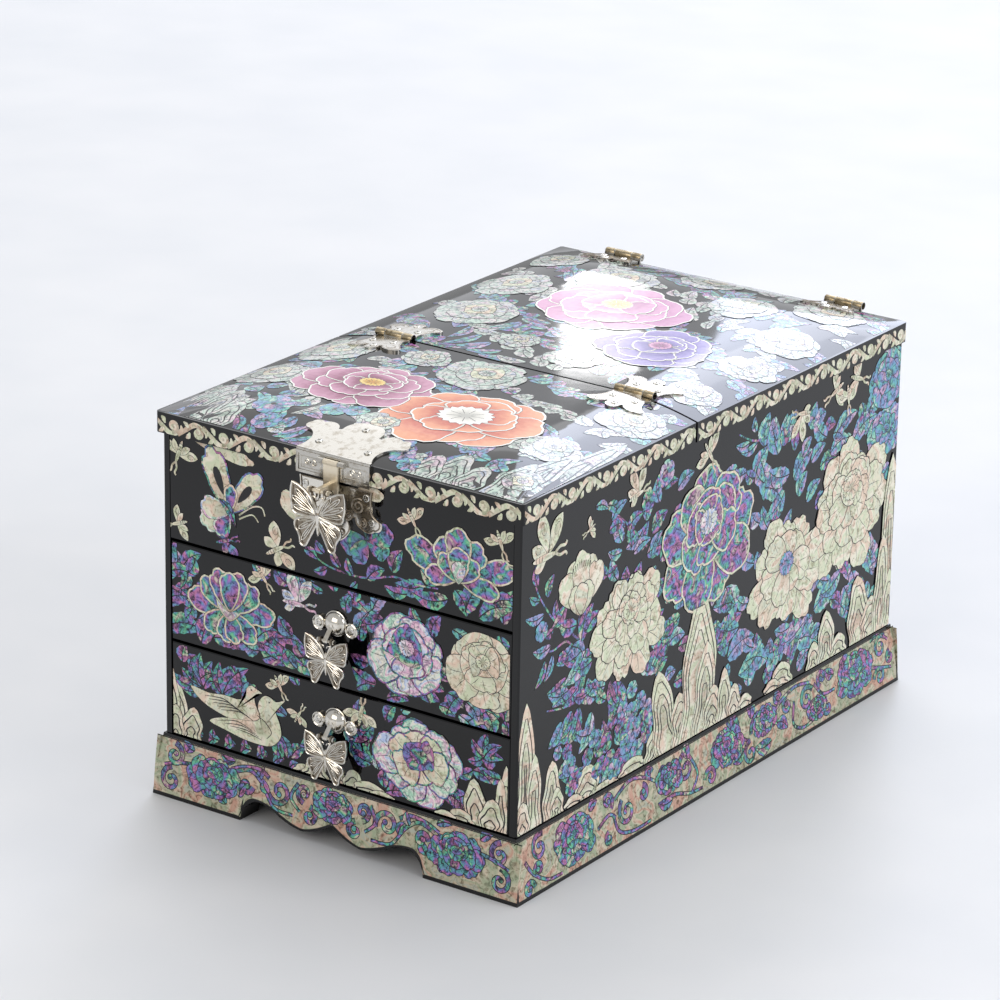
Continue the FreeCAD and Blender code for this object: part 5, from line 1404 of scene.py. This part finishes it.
def dress_pull(name, height):
    """A smooth hood over the boss, its lip and the rims of the two screw rings."""
    bpy.ops.mesh.primitive_uv_sphere_add(segments=32, ring_count=20, radius=6.34 * MM, location=place(0, 0, height))
    hood = bpy.context.object
    hood.scale = (1, 5.04 / 6.34, 1)
    bpy.ops.object.transform_apply(location=True, rotation=True, scale=True)
    bpy.ops.object.mode_set(mode="EDIT")
    bpy.ops.mesh.select_all(action="SELECT")
    bpy.ops.mesh.bisect(plane_co=place(0, -0.02, height), plane_no=(0, 1, 0), clear_outer=True, use_fill=True)
    bpy.ops.object.mode_set(mode="OBJECT")
    hold(hood, name + "_hood", name, nickel)

    def ring(x, y, z, radius, count):
        turns = [2 * math.pi * k / count for k in range(count)]
        return [(x + radius * math.cos(t), y, z + radius * math.sin(t)) for t in turns]
    lines = [(ring(side * SCREW_RING_X, -1.6, height - SCREW_RING_DOWN, 3.3, 24), (0.5,), True) for side in (-1, 1)]
    lines.append((ring(0, -0.7, height, 6.2, 28), (0.45,), True))
    for side in (-1, 1):
        rib = []
        for t in (0, 0.25, 0.5, 0.75, 1.0):
            x, down = 0.9 + 1.6 * t, 5.4 * t - 0.6
            rib.append((side * x, -5.05 * math.sqrt(max(0.0, 1 - (x ** 2 + down ** 2) / 40.2)) - 0.05, height - down))
        lines.append((rib, (0.2, 0.55, 0.3), False))
    bead(name + "_pull_trim", name, lines, nickel)


def dress_fittings():
    dress_butterfly("clasp_butterfly_relief", "clasp_butterfly", 32.4, -15.1, 190.3)
    dress_butterfly("upper_pull_butterfly_relief", "upper_pull", WING_SPAN, -8.5, 111.4)
    dress_butterfly("lower_pull_butterfly_relief", "lower_pull", WING_SPAN, -8.5, 60.4)
    dress_hinges()
    dress_latch()
    for drawer in DRAWERS:
        dress_pull(*drawer)
    put_in_screws()


# Velvet

ROLL_CUTS = 40               # parts of a roll's length


def pad_the_rolls():
    """Seven velvet rolls for rings: padded, round on top, drawn in at their ends and pressed side to side."""
    low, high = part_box("ring_rolls")
    count, gap = 7, 0.6 * MM
    pitch = (high.y - low.y + gap) / count
    width = pitch - gap
    long = high.x - low.x
    tall = high.z - low.z
    for index in range(count):
        y = low.y + index * pitch + 0.5 * width
        bpy.ops.object.select_all(action="DESELECT")
        bpy.ops.mesh.primitive_cube_add(size=1, location=(0.5 * (low.x + high.x), y, low.z + 0.5 * tall),
                                        scale=(long, width, tall))
        roll = bpy.context.object
        bpy.ops.object.transform_apply(location=True, rotation=True, scale=True)
        bpy.ops.object.mode_set(mode="EDIT")
        shape = bmesh.from_edit_mesh(roll.data)
        for edge in shape.edges:
            a, b = (vert.co for vert in edge.verts)
            edge.select_set(min(a.z, b.z) > high.z - 1e-6 and abs(a.x - b.x) > 0.01)
        bmesh.update_edit_mesh(roll.data)
        bpy.ops.mesh.bevel(offset=0.49 * width, segments=10, profile=0.5, affect="EDGES")
        cuts = [((low.x + long * k / ROLL_CUTS, y, 0), (1, 0, 0)) for k in range(1, ROLL_CUTS)]
        cuts += [((0, y, low.z + k * 0.13 * tall), (0, 0, 1)) for k in range(1, 4)]
        for at, normal in cuts:
            bpy.ops.mesh.select_all(action="SELECT")
            bpy.ops.mesh.bisect(plane_co=at, plane_no=normal)
        bpy.ops.object.mode_set(mode="OBJECT")
        for vert in roll.data.vertices:
            x, z = vert.co.x, vert.co.z
            end = min(x - low.x, high.x - x) / (9 * MM)
            full = math.sqrt(max(0.0, 1 - (1 - min(end, 1.0)) ** 2))
            up = (z - low.z) / tall
            soft = 1.0 - 0.16 * (1 - full) * up
            ripple = 1.0 - 0.012 * (1 + math.sin(x * 190 + index * 1.7) * math.sin(x * 67 + index)) * up
            sink = (1 - 0.2 * (1 - full) * up) * (1 - 0.012 * (1 + math.sin(x * 120 + 2 * index)) * up)
            vert.co.y = y + (vert.co.y - y) * soft * ripple
            vert.co.z = low.z + (z - low.z) * sink
        modifier = roll.modifiers.new("soft", "SUBSURF")
        modifier.levels = modifier.render_levels = 1
        bpy.ops.object.modifier_apply(modifier="soft")
        hold(roll, "ring_roll_%d" % (index + 1), "cabinet", velvet)
        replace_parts(roll, "ring_rolls")


def lay_shell_work():
    """Draws each face's shell work and lays it. A face has its name, body, surface, limits and drawing."""
    front = on_front(0.0)
    edges = (193.8, 203.4)
    plinth = (1.5, 32.0)
    for name, body, face, limits, draw in [
            ("upper_front", "cabinet", front, (-103, 103, 138.7, 193.0), draw_upper_front),
            ("upper_drawer", "upper_drawer", front, (-102.3, 102.3, 85.2, 136.3), draw_upper_drawer),
            ("lower_drawer", "lower_drawer", front, (-102.3, 102.3, 34.2, 82.8), draw_lower_drawer),
            ("front_lid", "front_lid", on_lid, (-108.7, 108.7, 1.3, 147.2), draw_front_lid),
            ("rear_lid", "rear_lid", on_lid, (-108.7, 108.7, 149.8, 351.0), draw_rear_lid),
            ("plinth_front", "cabinet", on_plinth_front, (-112.0, 112.0, *plinth), draw_plinth_front),
            ("plinth_back", "cabinet", on_plinth_back, (-112.0, 112.0, *plinth), draw_plinth_back),
            ("right_side", "cabinet", on_side(1, CASE_HALF), (1.2, 348.8, 33.6, 193.0), draw_side),
            ("left_side", "cabinet", on_side(-1, CASE_HALF), (1.2, 348.8, 33.6, 193.0), draw_side),
            ("plinth_right", "cabinet", on_plinth_side(1), (-4.4, 354.4, *plinth), draw_plinth_side),
            ("plinth_left", "cabinet", on_plinth_side(-1), (-4.4, 354.4, *plinth), draw_plinth_side),
            ("front_edge", "front_lid", on_front(LID_FRONT), (-108.6, 108.6, *edges), vine_band),
            ("right_edge_front", "front_lid", on_side(1, LID_HALF), (-1.2, 145.0, *edges), vine_band),
            ("right_edge_rear", "rear_lid", on_side(1, LID_HALF), (147.6, 348.6, *edges), vine_band),
            ("left_edge_front", "front_lid", on_side(-1, LID_HALF), (-1.2, 145.0, *edges), vine_band),
            ("left_edge_rear", "rear_lid", on_side(-1, LID_HALF), (147.6, 348.6, *edges), vine_band)]:
        work = ShellWork(name, body, face, limits)
        draw(work)
        work.lay()


set_camera()
light_the_room()
lay_the_table()
finish_case_nodes()
lay_shell_work()
dress_fittings()
pad_the_rolls()
